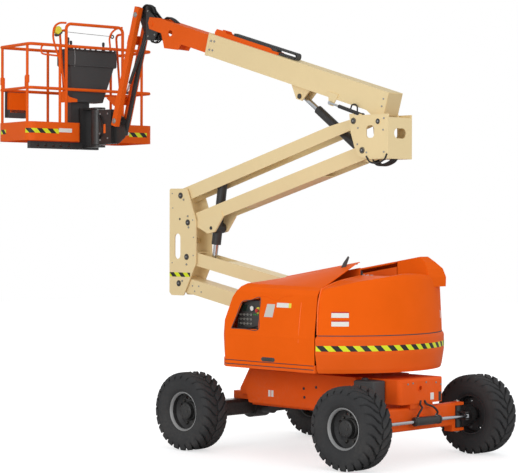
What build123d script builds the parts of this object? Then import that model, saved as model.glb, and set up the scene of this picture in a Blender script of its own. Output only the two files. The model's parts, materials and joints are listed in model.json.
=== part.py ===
from build123d import *
import math
import os

# Boom lift on four wheels: chassis, turning superstructure, two-stage tower,
# telescopic main boom, hanging jib and work platform. Millimetres, +Z up.
# Every piece is drawn about the slewing axis, with the counterweight towards +X
# and the platform towards -X; at the end all of them move together so that the
# origin lies on the ground under the middle of the whole machine.

# Running gear
WHEELBASE = 2340.0
TRACK = 2010.0
TYRE_D = 850.0
TYRE_W = 330.0
TREAD_DEPTH = 26.0
LUGS_PER_SIDE = 20
LUG_LENGTH = 150.0
LUG_WIDTH = 70.0
LUG_ANGLE = 18.0
RIM_R = 212.0
RIM_WALL = 12.0
HUB_R = 88.0
KINGPIN_Y = 665.0
KINGPIN_R = 26.0
STEER_ARM = 130.0
STEER_LIMIT = 35.0
AXLE_Z = TYRE_D / 2
DRIVE_X = -WHEELBASE / 2
STEER_X = WHEELBASE / 2

# Chassis
CHASSIS_HALF = 350.0
CHASSIS_MID_HALF = 430.0
CHASSIS_TOP = 868.0
HULL_WALL = 14.0
CHASSIS_FLOOR = 470.0
NOSE_X = 1250.0
TAIL_X = -1075.0
RING_R = 430.0
DECK_Z = 938.0
DECK_T = 80.0

# Superstructure
SWING_R = 1190.0
SIDE_FLAT = 1000.0
HOOD_WALL = 8.0
HOOD_FRONT = -735.0
HOOD_REAR = 650.0
RIB_REAR = 1085.0
RIDGE_RISE = 9.3
RIDGE_Z = 1957.0
SLOT_HALF = 290.0
LEDGE_Z = 1320.0
COVER_TOP = 1945.0
HOOD_GAP = 10.0

# Tower linkage: lower pair, lower upright, middle pair, upper upright
PLATE = 12.0
LOWER_LEN = 2750.0
LOWER_ANGLE = 10.7
LOWER_HALF = 105.0
LOWER_TOP_DEPTH = 150.0
LOWER_BOTTOM_DEPTH = 170.0
MID_LEN = 2856.0
MID_ANGLE = 15.5
MID_HALF = 100.0
MID_DEPTH = 158.0
UPRIGHT_IN = 118.0
UPRIGHT_T = 14.0
LOWER_TOP_PIN = (-2193.0, 2072.0)
LOWER_BOTTOM_PIN = (-2325.0, 1762.0)
MID_TOP_PIN = (-2297.0, 2784.0)
MID_BOTTOM_PIN = (-2173.0, 2471.0)
LINK_PIN_R = 30.0
PIN_PLAY = 0.5

# Upper upright and main boom
UPPER_HALF = 190.0
BOOM_PIVOT = (800.0, 3530.0)
BOOM_ANGLE = 16.6
BOOM_HALF = 115.0
BOOM_BOTTOM = 59.0
BOOM_DEPTH = 252.0
BOOM_REAR = 12.0
BOOM_FRONT = 2847.0
BOOM_WALL = 8.0
BOOM_PIN_R = 35.0
FLY_HALF = 90.0
FLY_WALL = 7.0
FLY_BOTTOM = 80.0
FLY_DEPTH = 210.0
FLY_REAR = 700.0
FLY_FRONT = 3600.0
PAD_PLAY = 5.0

# Cylinders: where the base and the rod eye are pinned
LIFT_BASE = (530.0, 3150.0)
LIFT_EYE_UV = (1284.0, -41.0)
LEVEL_BASE = (540.0, 3606.0)
LEVEL_EYE_UV = (759.0, 10.0)
LEVEL_Y = -145.0
TOWER_TRUNNION = (-1805.0, 2408.0)
TOWER_EYE = (-1870.0, 1985.0)

# Jib
NOSE_PIN_UV = (3880.0, 200.0)
JIB_TOP = (-3118.0, 4955.0)
JIB_BOTTOM = (-3505.0, 3700.0)
LEVEL_LINK_OFFSET = (40.0, -150.0)
JIB_PIN_R = 24.0
JIB_GAP_HALF = 55.0
JIB_TUBE_W = 65.0
JIB_TUBE_D = 80.0
JIB_WALL = 6.0
JIB_BASE = (-3030.0, 4700.0)
JIB_EYE_S = 950.0
JIB_EYE_OUT = 25.0

# Platform
TURN_X = -3940.0
PLATFORM_ANGLE = -7.0
PLATFORM_OUT = 512.0
PLATFORM_L = 1830.0
PLATFORM_W = 760.0
PLATFORM_CORNER = 100.0
TRAY_BOTTOM = 3467.0
KICK_TOP = 3695.0
FLOOR_Z = 3515.0
TRAY_WALL = 6.0
MID_RAIL_Z = 4105.0
TOP_RAIL_Z = 4635.0
HIGH_RAIL_Z = 4910.0
RAIL_R = 19.0
GATE_POST = 55.0


def side_frame():
    """Frame whose x is +X and whose y is +Z, facing -Y."""
    return Plane(origin=(0, 0, 0), x_dir=(1, 0, 0), z_dir=(0, -1, 0))


def link_frame(pivot, angle, toward):
    """Frame at a pivot, x along a link raised by angle towards -X or +X, y square to it and up."""
    run = (toward * math.cos(math.radians(angle)), 0, math.sin(math.radians(angle)))
    return Plane(origin=(pivot[0], 0, pivot[1]), x_dir=run, z_dir=(0, -toward, 0))


def line_frame(start, end):
    """Frame at start, x towards end, in the X-Z plane."""
    run = (end[0] - start[0], 0, end[1] - start[1])
    return Plane(origin=(start[0], 0, start[1]), x_dir=run, z_dir=(0, -1, 0))


def slab(frame, outline, y_low, y_high, radius=0.0):
    """Closed outline in a frame, made thick from y_low to y_high."""
    face = make_face(Polyline(*outline, close=True))
    if radius > 0:
        face = fillet(face.vertices(), radius)
    start = y_low if frame.z_dir.Y > 0 else -y_high
    return extrude(frame.offset(start) * face, amount=y_high - y_low)


def block(frame, x_low, x_high, z_low, z_high, y_low, y_high):
    """Rectangle in a frame, made thick from y_low to y_high."""
    outline = [(x_low, z_low), (x_high, z_low), (x_high, z_high), (x_low, z_high)]
    return slab(frame, outline, y_low, y_high)


def both_sides(frame, outline, y_in, y_out, radius=0.0):
    """The same plate on the near and the far side."""
    near = slab(frame, outline, -y_out, -y_in, radius)
    far = slab(frame, outline, y_in, y_out, radius)
    return near + far


def cross_pin(frame, at, radius, y_low, y_high):
    """Round pin along Y at a point of a frame."""
    start = y_low if frame.z_dir.Y > 0 else -y_high
    disc = frame.offset(start) * Pos(at[0], at[1]) * Circle(radius)
    return extrude(disc, amount=y_high - y_low)


def box_at(x_low, x_high, y_low, y_high, z_low, z_high):
    """Upright box between corners."""
    size = Box(x_high - x_low, y_high - y_low, z_high - z_low)
    return Pos((x_low + x_high) / 2, (y_low + y_high) / 2, (z_low + z_high) / 2) * size


def post_at(x, y, z_low, z_high, radius):
    """Upright round post."""
    return Pos(x, y, (z_low + z_high) / 2) * Cylinder(radius, z_high - z_low)


def rounded_link(length, depth, margin):
    """Outline of a link with rounded ends about its two pins."""
    half = depth / 2
    straight = [(0, -half), (length, -half), (length, half), (0, half)]
    body = make_face(Polyline(*straight, close=True))
    return body + Circle(margin) + Pos(length, 0) * Circle(margin)


def thick(frame, face, y_low, y_high):
    """A ready face in a frame, made thick from y_low to y_high."""
    start = y_low if frame.z_dir.Y > 0 else -y_high
    return extrude(frame.offset(start) * face, amount=y_high - y_low)


def pipe(points, radius, bend):
    """Round bar along straight runs joined by arcs."""
    path = FilletPolyline(*points, radius=bend) if len(points) > 2 else Line(*points)
    return sweep(Plane(path @ 0, z_dir=path % 0) * Circle(radius), path=path)


def mirrored(shape):
    """The same piece on the other side of the machine."""
    return mirror(shape, about=Plane.XZ)


NODES = {}


def keep(name, shape):
    """File a finished piece under its name."""
    NODES[name] = shape


SIDE = side_frame()


# Wheels

def tyre():
    """Lugged tyre about the Y axis, centred on the origin."""
    outer = TYRE_D / 2
    tread = outer - TREAD_DEPTH
    half = TYRE_W / 2
    carcass = make_face(Polyline(
        (RIM_R, -half * 0.72), (RIM_R + 45, -half * 0.94), (RIM_R + 105, -half),
        (tread - 30, -half * 0.96), (tread, -half * 0.82), (tread, half * 0.82),
        (tread - 30, half * 0.96), (RIM_R + 105, half), (RIM_R + 45, half * 0.94),
        (RIM_R, half * 0.72), close=True))
    envelope = make_face(Polyline(
        (tread - 60, -half), (outer - 22, -half), (outer, -half * 0.8), (outer, half * 0.8),
        (outer - 22, half), (tread - 60, half), close=True))
    ring = revolve(carcass, axis=Axis.Y)
    skin = revolve(envelope, axis=Axis.Y)
    bars = []
    for side in (-1, 1):
        bar = Pos(outer - 32, side * half * 0.52, 0) * Rot(side * LUG_ANGLE, 0, 0)
        bar = bar * Box(70, LUG_LENGTH, LUG_WIDTH)
        bar = bar & skin
        turn = 180.0 / LUGS_PER_SIDE if side > 0 else 0.0
        for step in range(LUGS_PER_SIDE):
            bars.append(Rot(0, turn + 360.0 * step / LUGS_PER_SIDE, 0) * bar)
    return ring.fuse(*bars)


def rim():
    """Steel wheel disc and hub about the Y axis, its open face towards -Y."""
    half = TYRE_W * 0.36
    inner = RIM_R - RIM_WALL
    profile = make_face(Polyline(
        (0, -half * 0.55), (HUB_R - 14, -half * 0.55), (HUB_R, -half * 0.4), (HUB_R, -half * 0.05),
        (inner - 30, -half * 0.05), (inner, -half * 0.3), (inner, -half), (RIM_R, -half),
        (RIM_R, half), (inner, half), (inner, half * 0.1), (inner - 26, half * 0.2),
        (0, half * 0.2), close=True))
    disc = revolve(profile, axis=Axis.Y)
    for step in range(8):
        hole = Rot(0, 22.5 + 45.0 * step, 0) * Pos(inner * 0.76, 0, 0) * Rot(90, 0, 0)
        disc -= hole * Cylinder(17, TYRE_W)
    return disc


# name, x, side (-1 near, +1 far)
WHEELS = [
    ("drive_near", DRIVE_X, -1),
    ("drive_far", DRIVE_X, 1),
    ("steer_near", STEER_X, -1),
    ("steer_far", STEER_X, 1),
]
TYRE = tyre()
RIM = rim()
for wheel_name, wheel_x, side in WHEELS:
    place = Pos(wheel_x, side * TRACK / 2, AXLE_Z)
    flip = Rot(0, 0, 0) if side < 0 else Rot(0, 0, 180)
    keep("tyre_" + wheel_name, place * flip * TYRE)
    keep("rim_" + wheel_name, place * flip * RIM)


# Chassis

def chassis_frame():
    """Welded hull between the axles, with the slewing ring seat and tie-down bores."""
    spine = slab(SIDE, [
        (TAIL_X + 142, CHASSIS_TOP), (TAIL_X, 640), (TAIL_X, BULGE_TOP + 15),
        (-905, BULGE_TOP + 15), (-880, CHASSIS_FLOOR), (900, CHASSIS_FLOOR), (1010, SADDLE_TOP),
        (NOSE_X, SADDLE_TOP), (NOSE_X, CHASSIS_TOP - 24), (NOSE_X - 30, CHASSIS_TOP)],
        -CHASSIS_HALF, CHASSIS_HALF)
    rim_edges = spine.edges().filter_by(Axis.Z).group_by(Axis.X)[-1]
    spine = fillet(rim_edges, 55)
    middle = slab(SIDE, [(-800, CHASSIS_TOP), (-900, 620), (-860, 500), (700, 500), (760, 560),
                         (760, 800), (700, CHASSIS_TOP)], -CHASSIS_MID_HALF, CHASSIS_MID_HALF, 20)
    ring = post_at(0, 0, CHASSIS_TOP - 30, DECK_Z - 6, RING_R)
    hull = spine + middle + ring
    inner = CHASSIS_HALF - HULL_WALL
    for x_low, x_high in ((-840, -300), (-280, 280), (300, 860)):
        hull -= box_at(x_low, x_high, -inner, inner, CHASSIS_FLOOR - 20, CHASSIS_TOP - 40)
    for side in (-1, 1):
        hull += box_at(DRIVE_X - 60, DRIVE_X + 200, side * 240 - 60, side * 240 + 60,
                       AXLE_Z + 90, BULGE_TOP + 40)
    for face_x, out, y, z in TIE_PLACES:
        hull += Pos(face_x, y, z) * Rot(0, 90, 0) * Cylinder(TIE_BORE_R + 8, 2 * TIE_RING)
        middle_x = face_x + out * (TIE_RING + 1 - TIE_DEPTH / 2)
        hull -= Pos(middle_x, y, z) * Rot(0, 90, 0) * Cylinder(TIE_BORE_R, TIE_DEPTH + 2)
    return hull


TIE_BORE_R = 24.0
TIE_DEPTH = 60.0
TIE_RING = 8.0
# x of the end face, way out of it, y, z
TIE_PLACES = [(NOSE_X, 1, -38.0, 771.0), (TAIL_X, -1, 0.0, 607.0)]
SADDLE_TOP = AXLE_Z + 187
BULGE_R = 135.0
BULGE_TOP = AXLE_Z + BULGE_R
HUB_SEAT_MID = TRACK / 2 - TYRE_W * 0.36 * 0.2 - 2 - 65
keep("chassis_frame", chassis_frame())


def drive_axle():
    """Axle housing under the frame with its hub flanges."""
    tube = box_at(DRIVE_X - 85, DRIVE_X + 85, -720, 720, 335, 515)
    tube = fillet(tube.edges().filter_by(Axis.Y), 40)
    bulge = Pos(DRIVE_X, 0, AXLE_Z) * Rot(90, 0, 0) * Cylinder(BULGE_R, 230)
    motor = Pos(DRIVE_X + 170, 0, AXLE_Z) * Rot(0, 90, 0) * Cylinder(80, 190)
    ends = []
    for side in (-1, 1):
        ends.append(Pos(DRIVE_X, side * 790, AXLE_Z) * Rot(90, 0, 0) * Cylinder(120, 140))
        ends.append(Pos(DRIVE_X, side * HUB_SEAT_MID, AXLE_Z) * Rot(90, 0, 0) * Cylinder(60, 130))
    return tube + bulge + motor + ends


keep("drive_axle", drive_axle())


def steer_axle():
    """Beam with forked ends that hold the kingpins."""
    beam = box_at(STEER_X - 55, STEER_X + 55, -560, 560, 335, 575)
    beam = fillet(beam.edges().filter_by(Axis.Y), 25)
    saddle = box_at(STEER_X - 70, STEER_X + 70, -180, 180, AXLE_Z + 135, SADDLE_TOP)
    axle = beam + saddle
    for side in (-1, 1):
        for z_low, z_high in ((545, 575), (275, 305)):
            axle += box_at(STEER_X - 50, STEER_X + 50, min(side * 540, side * 720),
                           max(side * 540, side * 720), z_low, z_high)
        axle += box_at(STEER_X - 50, STEER_X + 50, min(side * 520, side * 575),
                       max(side * 520, side * 575), 275, 575)
        axle += post_at(STEER_X, side * KINGPIN_Y, 262, 588, KINGPIN_R)
    return axle + box_at(STEER_X + 40, ROD_SEAT_X, -40, 40, 400, 480)


STEER_ROD_X = STEER_X + STEER_ARM + 12
STEER_ROD_Z = AXLE_Z + 13
ROD_SEAT_X = STEER_ROD_X - 22
keep("steer_axle", steer_axle())


def knuckle():
    """Near steering knuckle: kingpin barrel, spindle and steering arm."""
    barrel = post_at(STEER_X, -KINGPIN_Y, 312, 538, 52)
    spindle = Pos(STEER_X, -(KINGPIN_Y + 100), AXLE_Z) * Rot(90, 0, 0) * Cylinder(48, 200)
    flange = Pos(STEER_X, -818, AXLE_Z) * Rot(90, 0, 0) * Cylinder(115, 80)
    tip = Pos(STEER_X, -HUB_SEAT_MID, AXLE_Z) * Rot(90, 0, 0) * Cylinder(60, 130)
    body = barrel + spindle + flange + tip
    arm_plan = make_face(Polyline((0, -40), (STEER_ARM, -26), (STEER_ARM, 26), (0, 40), close=True))
    for z_low in (395, 465):
        arm = Pos(STEER_X, -KINGPIN_Y, z_low) * (extrude(arm_plan, amount=16)
                                                + Pos(STEER_ARM, 0, 8) * Cylinder(30, 16))
        body += arm
    body -= post_at(STEER_X, -KINGPIN_Y, 300, 550, KINGPIN_R + PIN_PLAY)
    return body


keep("knuckle_near", knuckle())
keep("knuckle_far", mirrored(knuckle()))


def steering_cylinder():
    """Cross-lying steering cylinder, clamped to the axle beam."""
    tube = Pos(STEER_ROD_X, 0, STEER_ROD_Z) * Rot(90, 0, 0) * Cylinder(44, 380)
    tube -= Pos(STEER_ROD_X, 0, STEER_ROD_Z) * Rot(90, 0, 0) * Cylinder(18.5, 400)
    return tube - box_at(STEER_X + 30, ROD_SEAT_X, -40, 40, 390, 490)


def steering_rod():
    """Through rod whose ends sit between the arms of the knuckles."""
    rod = Pos(STEER_ROD_X, 0, STEER_ROD_Z) * Rot(90, 0, 0) * Cylinder(18, 2 * (KINGPIN_Y - 10))
    for side in (-1, 1):
        rod += Pos(STEER_ROD_X - 8, side * KINGPIN_Y, STEER_ROD_Z) * Cylinder(30, 36)
    return rod


keep("steering_cylinder", steering_cylinder())
keep("steering_rod", steering_rod())
keep("chassis_tank", fillet(box_at(780, 1060, -545, -360, 630, 855).edges(), 18))


# Superstructure

def ridge_z(x):
    """Height of the hoods' ridge, which is also their hinge line."""
    return RIDGE_Z + x * math.tan(math.radians(RIDGE_RISE))


def swing_plan(radius, flat, x_low, x_high, y_low, y_high):
    """Part of the round plan with flat sides, cut to a rectangle."""
    disc = Circle(radius) & Rectangle(2 * radius, 2 * flat)
    window = Pos((x_low + x_high) / 2, (y_low + y_high) / 2)
    return disc & (window * Rectangle(x_high - x_low, y_high - y_low))


def turntable_deck():
    """Round deck with the slewing ring, the tower brackets and the walls of the boom slot."""
    plan = swing_plan(SWING_R - 10, SIDE_FLAT - 8, -SWING_R, HOOD_REAR, -SWING_R, SWING_R)
    deck = Pos(0, 0, DECK_Z) * extrude(plan, amount=DECK_T)
    inner = swing_plan(SWING_R - 26, SIDE_FLAT - 24, -SWING_R, HOOD_REAR - 16, -SWING_R, SWING_R)
    deck -= Pos(0, 0, DECK_Z - 1) * extrude(inner - Circle(RING_R), amount=DECK_T - 15)
    top = DECK_Z + DECK_T
    px, pz = TURNTABLE_TOP_PIN
    bracket = [(px - 259, top), (px + 135, top), (px + 131, 1400), (px + 81, pz + 39),
               (px + 31, pz + 79), (px - 59, pz + 59), (px - 189, pz - 201), (px - 239, pz - 381)]
    deck += both_sides(SIDE, bracket, 125, 145, 0)
    for pin in (TURNTABLE_TOP_PIN, TURNTABLE_BOTTOM_PIN):
        deck += cross_pin(SIDE, pin, LINK_PIN_R, -160, 160)
    wall = [(-560, top - 1), (HOOD_REAR, top - 1), (HOOD_REAR, ridge_z(HOOD_REAR) - 60),
            (-250, ridge_z(-250) - 60), (-500, 1620)]
    deck += both_sides(SIDE, wall, SLOT_HALF, SLOT_HALF + HOOD_WALL, 0)
    return deck


TURNTABLE_TOP_PIN = (LOWER_TOP_PIN[0] + LOWER_LEN * math.cos(math.radians(LOWER_ANGLE)),
                     LOWER_TOP_PIN[1] - LOWER_LEN * math.sin(math.radians(LOWER_ANGLE)))
TURNTABLE_BOTTOM_PIN = (LOWER_BOTTOM_PIN[0] + LOWER_LEN * math.cos(math.radians(LOWER_ANGLE)),
                        LOWER_BOTTOM_PIN[1] - LOWER_LEN * math.sin(math.radians(LOWER_ANGLE)))
keep("turntable_deck", turntable_deck())


def counterweight():
    """Cast rear segment that follows the swing circle."""
    plan = swing_plan(SWING_R, SIDE_FLAT, HOOD_REAR + HOOD_GAP, SWING_R, -SWING_R, SWING_R)
    cast = Pos(0, 0, DECK_Z) * extrude(plan, amount=LEDGE_Z - DECK_Z)
    side = make_face(Polyline(
        (0, DECK_Z), (SWING_R - 34, DECK_Z), (SWING_R - 22, DECK_Z + 40), (SWING_R, DECK_Z + 190),
        (SWING_R, LEDGE_Z - 40), (SWING_R - 6, LEDGE_Z - 20), (SWING_R - 24, LEDGE_Z), (0, LEDGE_Z),
        close=True))
    cast &= revolve(Plane.XZ * side, axis=Axis.Z)
    return cast - box_at(HOOD_REAR, SWING_R - 130, -SLOT_HALF, SLOT_HALF, 1100, 1500)


keep("counterweight", counterweight())


def rear_cover():
    """Drafted cover above the counterweight, open for the boom slot, with the rib on its far half."""
    plan = swing_plan(SWING_R - COVER_INSET, SIDE_FLAT - COVER_INSET, HOOD_REAR + HOOD_GAP, SWING_R,
                      -SWING_R, SWING_R)
    body = Pos(0, 0, LEDGE_Z) * extrude(plan, amount=COVER_TOP - LEDGE_Z)
    foot, head = SWING_R - COVER_INSET, SWING_R - COVER_INSET - 40
    side = make_face(Polyline(
        (0, LEDGE_Z), (foot, LEDGE_Z), (foot - 4, LEDGE_Z + 120), (head + 12, COVER_TOP - 60),
        (head, COVER_TOP - 25), (head - 22, COVER_TOP - 6), (head - 60, COVER_TOP), (0, COVER_TOP),
        close=True))
    body &= revolve(Plane.XZ * side, axis=Axis.Z)
    slope = [(-SIDE_FLAT, LEDGE_Z - 50), (-SIDE_FLAT, 1500), (-905, 1785), (-860, 1810), (-640, 1875),
             (-300, 1925), (-100, COVER_TOP), (100, COVER_TOP), (300, 1925), (640, 1875), (860, 1810),
             (905, 1785), (SIDE_FLAT, 1500), (SIDE_FLAT, LEDGE_Z - 50)]
    across = Plane(origin=(0, 0, 0), x_dir=(0, 1, 0), z_dir=(1, 0, 0))
    body &= extrude(across * make_face(Polyline(*slope, close=True)), amount=2 * SWING_R)
    body += cover_rib()
    return body - box_at(0, SWING_R - 130, -SLOT_HALF, SLOT_HALF, 1000, 2400)


def cover_rib():
    """Raised rib beside the slot that carries the far hood's line over the cover."""
    start = HOOD_REAR + HOOD_GAP
    outline = [(start, 1800), (RIB_REAR - 10, 1800), (RIB_REAR, 1900), (RIB_REAR - 12, 1990),
               (RIB_REAR - 50, 2060), (RIB_REAR - 110, ridge_z(RIB_REAR - 110)), (start, ridge_z(start))]
    rib = slab(SIDE, outline, SLOT_HALF, 620)
    cut = Plane(origin=(0, 0, 0), x_dir=(0, 1, 0), z_dir=(1, 0, 0)) * make_face(Polyline(
        (SLOT_HALF - 10, 1700), (600, 1700), (585, 1900), (545, 1990), (470, 2055), (340, 2200),
        (SLOT_HALF - 10, 2200), close=True))
    return rib & extrude(cut, amount=2 * SWING_R)


COVER_INSET = 22.0
HOOD_SILL = 900.0
keep("rear_cover", rear_cover())


def hood_form(inset):
    """Outer form of the far hood, drawn smaller by inset for the hollow."""
    radius, flat = SWING_R - inset, SIDE_FLAT - inset
    inner = SLOT_HALF + HOOD_GAP
    plan = swing_plan(radius, flat, HOOD_FRONT, HOOD_REAR, inner, SWING_R)
    body = Pos(0, 0, DECK_Z + DECK_T) * extrude(plan, amount=1300)
    sections = []
    # x, rise of the shoulder
    for x, rise in ((-900, 28), (1100, -7)):
        edge = Polyline((inner - 40, HOOD_SILL), (flat, HOOD_SILL), (flat, 1290),
                        (952 - inset, 1725 + rise - inset), (925 - inset, 1775 + rise - inset),
                        (870 - inset, 1808 + rise - inset),
                        (350, ridge_z(x) - 12 - inset), (320, ridge_z(x) - inset),
                        (inner - 40, ridge_z(x) - inset), close=True)
        sections.append(Plane(origin=(x, 0, 0), x_dir=(0, 1, 0), z_dir=(1, 0, 0)) * make_face(edge))
    body &= loft(sections, ruled=True)
    front = [(HOOD_FRONT + 90 + inset, 1000), (HOOD_FRONT + 5 + inset, 1270),
             (HOOD_FRONT + 160 + inset, 1680), (HOOD_FRONT + 260 + inset, 1800 - inset),
             (HOOD_FRONT + 330 + inset, 1850 - inset), (-180, 2300), (1200, 2300), (1200, 1000)]
    return body & slab(SIDE, front, 0, SWING_R + 10)


def hood(side):
    """Thin hood, open below and towards the slot, with the bead of its hinge along the ridge."""
    shell = hood_form(0) - hood_form(HOOD_WALL)
    shell -= box_at(HOOD_FRONT, 0, SLOT_HALF - 50, SLOT_HALF + HOOD_GAP + 3, HOOD_SILL, 1500)
    x_low = HOOD_FRONT + 390
    start = Vector(x_low, HINGE_Y, ridge_z(x_low) - HINGE_DROP)
    run = Vector(math.cos(math.radians(RIDGE_RISE)), 0, math.sin(math.radians(RIDGE_RISE)))
    bead = Plane(origin=start, z_dir=run) * Circle(HINGE_R)
    shell += extrude(bead, amount=(HOOD_REAR - 30 - x_low) / run.X)
    return shell if side > 0 else mirrored(shell)


HINGE_Y = SLOT_HALF + HOOD_GAP + 8
HINGE_R = 11.0
HINGE_DROP = 10.0


def hood_near():
    """Hood on the near side with the window over the ground controls."""
    shell = hood(-1)
    window = [(-557, 1350), (-425, 1630), (-160, 1682), (-159, 1352)]
    return shell - slab(SIDE, window, -SWING_R, -700)


keep("hood_near", hood_near())
keep("hood_far", hood(1))
keep("ground_panel", box_at(-560, -140, -900, -840, DECK_Z + DECK_T, 1640))
keep("engine_block", box_at(-250, 450, 430, 830, DECK_Z + DECK_T, 1480))
keep("tank_block", box_at(-80, 600, -860, -420, DECK_Z + DECK_T, 1450))


# Tower

def hollow_link(frame, length, depth, half, margin):
    """Box-section link, open at both ends, bored for its two pins."""
    outline = rounded_link(length, depth, margin)
    body = thick(frame, outline, -half, half)
    body -= block(frame, -200, length + 200, -depth / 2 + PLATE, depth / 2 - PLATE,
                  -half + PLATE, half - PLATE)
    for at in (0, length):
        body -= cross_pin(frame, (at, 0), LINK_PIN_R + PIN_PLAY, -half - 1, half + 1)
    return body


def lower_link_top():
    """Upper link of the lower pair, open on top where the tower rod enters."""
    frame = link_frame(TURNTABLE_TOP_PIN, LOWER_ANGLE, -1)
    body = hollow_link(frame, LOWER_LEN, LOWER_TOP_DEPTH, LOWER_HALF, LOWER_TOP_DEPTH / 2 - 5)
    body -= block(frame, LOWER_LEN - 640, LOWER_LEN - 90, 0, LOWER_TOP_DEPTH,
                  -LOWER_HALF + PLATE, LOWER_HALF - PLATE)
    body -= block(frame, LOWER_LEN - 430, LOWER_LEN - 235, -LOWER_TOP_DEPTH, 0,
                  -LOWER_HALF + PLATE, LOWER_HALF - PLATE)
    for side in (-1, 1):
        ends = sorted((side * 50, side * (LOWER_HALF - PLATE)))
        body += cross_pin(SIDE, TOWER_EYE, 24, *ends)
    return body


def lower_link_bottom():
    """Lower link of the lower pair."""
    frame = link_frame(TURNTABLE_BOTTOM_PIN, LOWER_ANGLE, -1)
    return hollow_link(frame, LOWER_LEN, LOWER_BOTTOM_DEPTH, LOWER_HALF,
                       LOWER_BOTTOM_DEPTH / 2 - 5)


keep("lower_link_top", lower_link_top())
keep("lower_link_bottom", lower_link_bottom())

LOWER_UPRIGHT = [(-2488, 1655), (-2488, 2868), (-2190, 2865), (-2036, 2490), (-2036, 2000),
                 (-2246, 1621), (-2450, 1621)]
UPRIGHT_PINS = [LOWER_TOP_PIN, LOWER_BOTTOM_PIN, MID_TOP_PIN, MID_BOTTOM_PIN]


def lower_upright():
    """Two plates with a slot, joined by their pins and a cross tube."""
    outer = UPRIGHT_IN + UPRIGHT_T
    plates = both_sides(SIDE, LOWER_UPRIGHT, UPRIGHT_IN, outer, 25)
    window = SIDE.offset(-outer - 5) * Pos(-2350, 2195) * Rot(0, 0, 90) * SlotOverall(296, 100)
    plates -= extrude(window, amount=2 * outer + 10)
    for pin in UPRIGHT_PINS:
        plates += cross_pin(SIDE, pin, LINK_PIN_R, -outer - 6, outer + 6)
    plates += cross_pin(SIDE, (-2260, 2262), 34, -outer + 2, outer - 2)
    return plates


keep("lower_upright", lower_upright())


def mid_link_bottom():
    """Lower link of the middle pair: two cheeks tied in the middle, with the trunnion bracket."""
    frame = link_frame(MID_BOTTOM_PIN, MID_ANGLE, 1)
    body = hollow_link(frame, MID_LEN, MID_DEPTH, MID_HALF, MID_DEPTH / 2 - 3)
    for low, high in ((-150, 900), (2150, MID_LEN + 150)):
        body -= block(frame, low, high, -MID_DEPTH, MID_DEPTH, -MID_HALF + PLATE, MID_HALF - PLATE)
    bracket = [(-2040, 2420), (-1864, 2345), (-1748, 2365), (-1610, 2540), (-1640, 2600),
               (-2060, 2490)]
    body += both_sides(SIDE, bracket, MID_HALF - PLATE, MID_HALF + 10, 0)
    return body - cross_pin(SIDE, TOWER_TRUNNION, 20.5, -150, 150)


def mid_link_top():
    """Upper link of the middle pair: cheeks under a cover, open where the lift cylinder crosses."""
    frame = link_frame(MID_TOP_PIN, MID_ANGLE, 1)
    half = MID_DEPTH / 2
    cheek = make_face(Polyline((0, -half), (MID_LEN, -half + 25), (MID_LEN, half - 32),
                               (MID_LEN - 430, half), (0, half), close=True))
    cheek = cheek + Circle(half - 3) + Pos(MID_LEN, 0) * Circle(50)
    body = thick(frame, cheek, -MID_HALF, -MID_HALF + PLATE)
    body += thick(frame, cheek, MID_HALF - PLATE, MID_HALF)
    body += block(frame, 150, 1600, half - PLATE, half, -MID_HALF + 1, MID_HALF - 1)
    for at in (0, MID_LEN):
        body -= cross_pin(frame, (at, 0), LINK_PIN_R + PIN_PLAY, -MID_HALF - 1, MID_HALF + 1)
    return body


keep("mid_link_bottom", mid_link_bottom())
keep("mid_link_top", mid_link_top())


def along(pivot, length, angle):
    """Point at a distance along a link that rises towards +X."""
    return (pivot[0] + length * math.cos(math.radians(angle)),
            pivot[1] + length * math.sin(math.radians(angle)))


UPPER_TOP_PIN = along(MID_TOP_PIN, MID_LEN, MID_ANGLE)
UPPER_BOTTOM_PIN = along(MID_BOTTOM_PIN, MID_LEN, MID_ANGLE)
UPPER_PLATE = [(396, 3624), (452, 3624), (480, 3605), (940, 3605), (940, 3140), (655, 3140),
               (525, 3180), (470, 3270), (415, 3430)]


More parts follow.
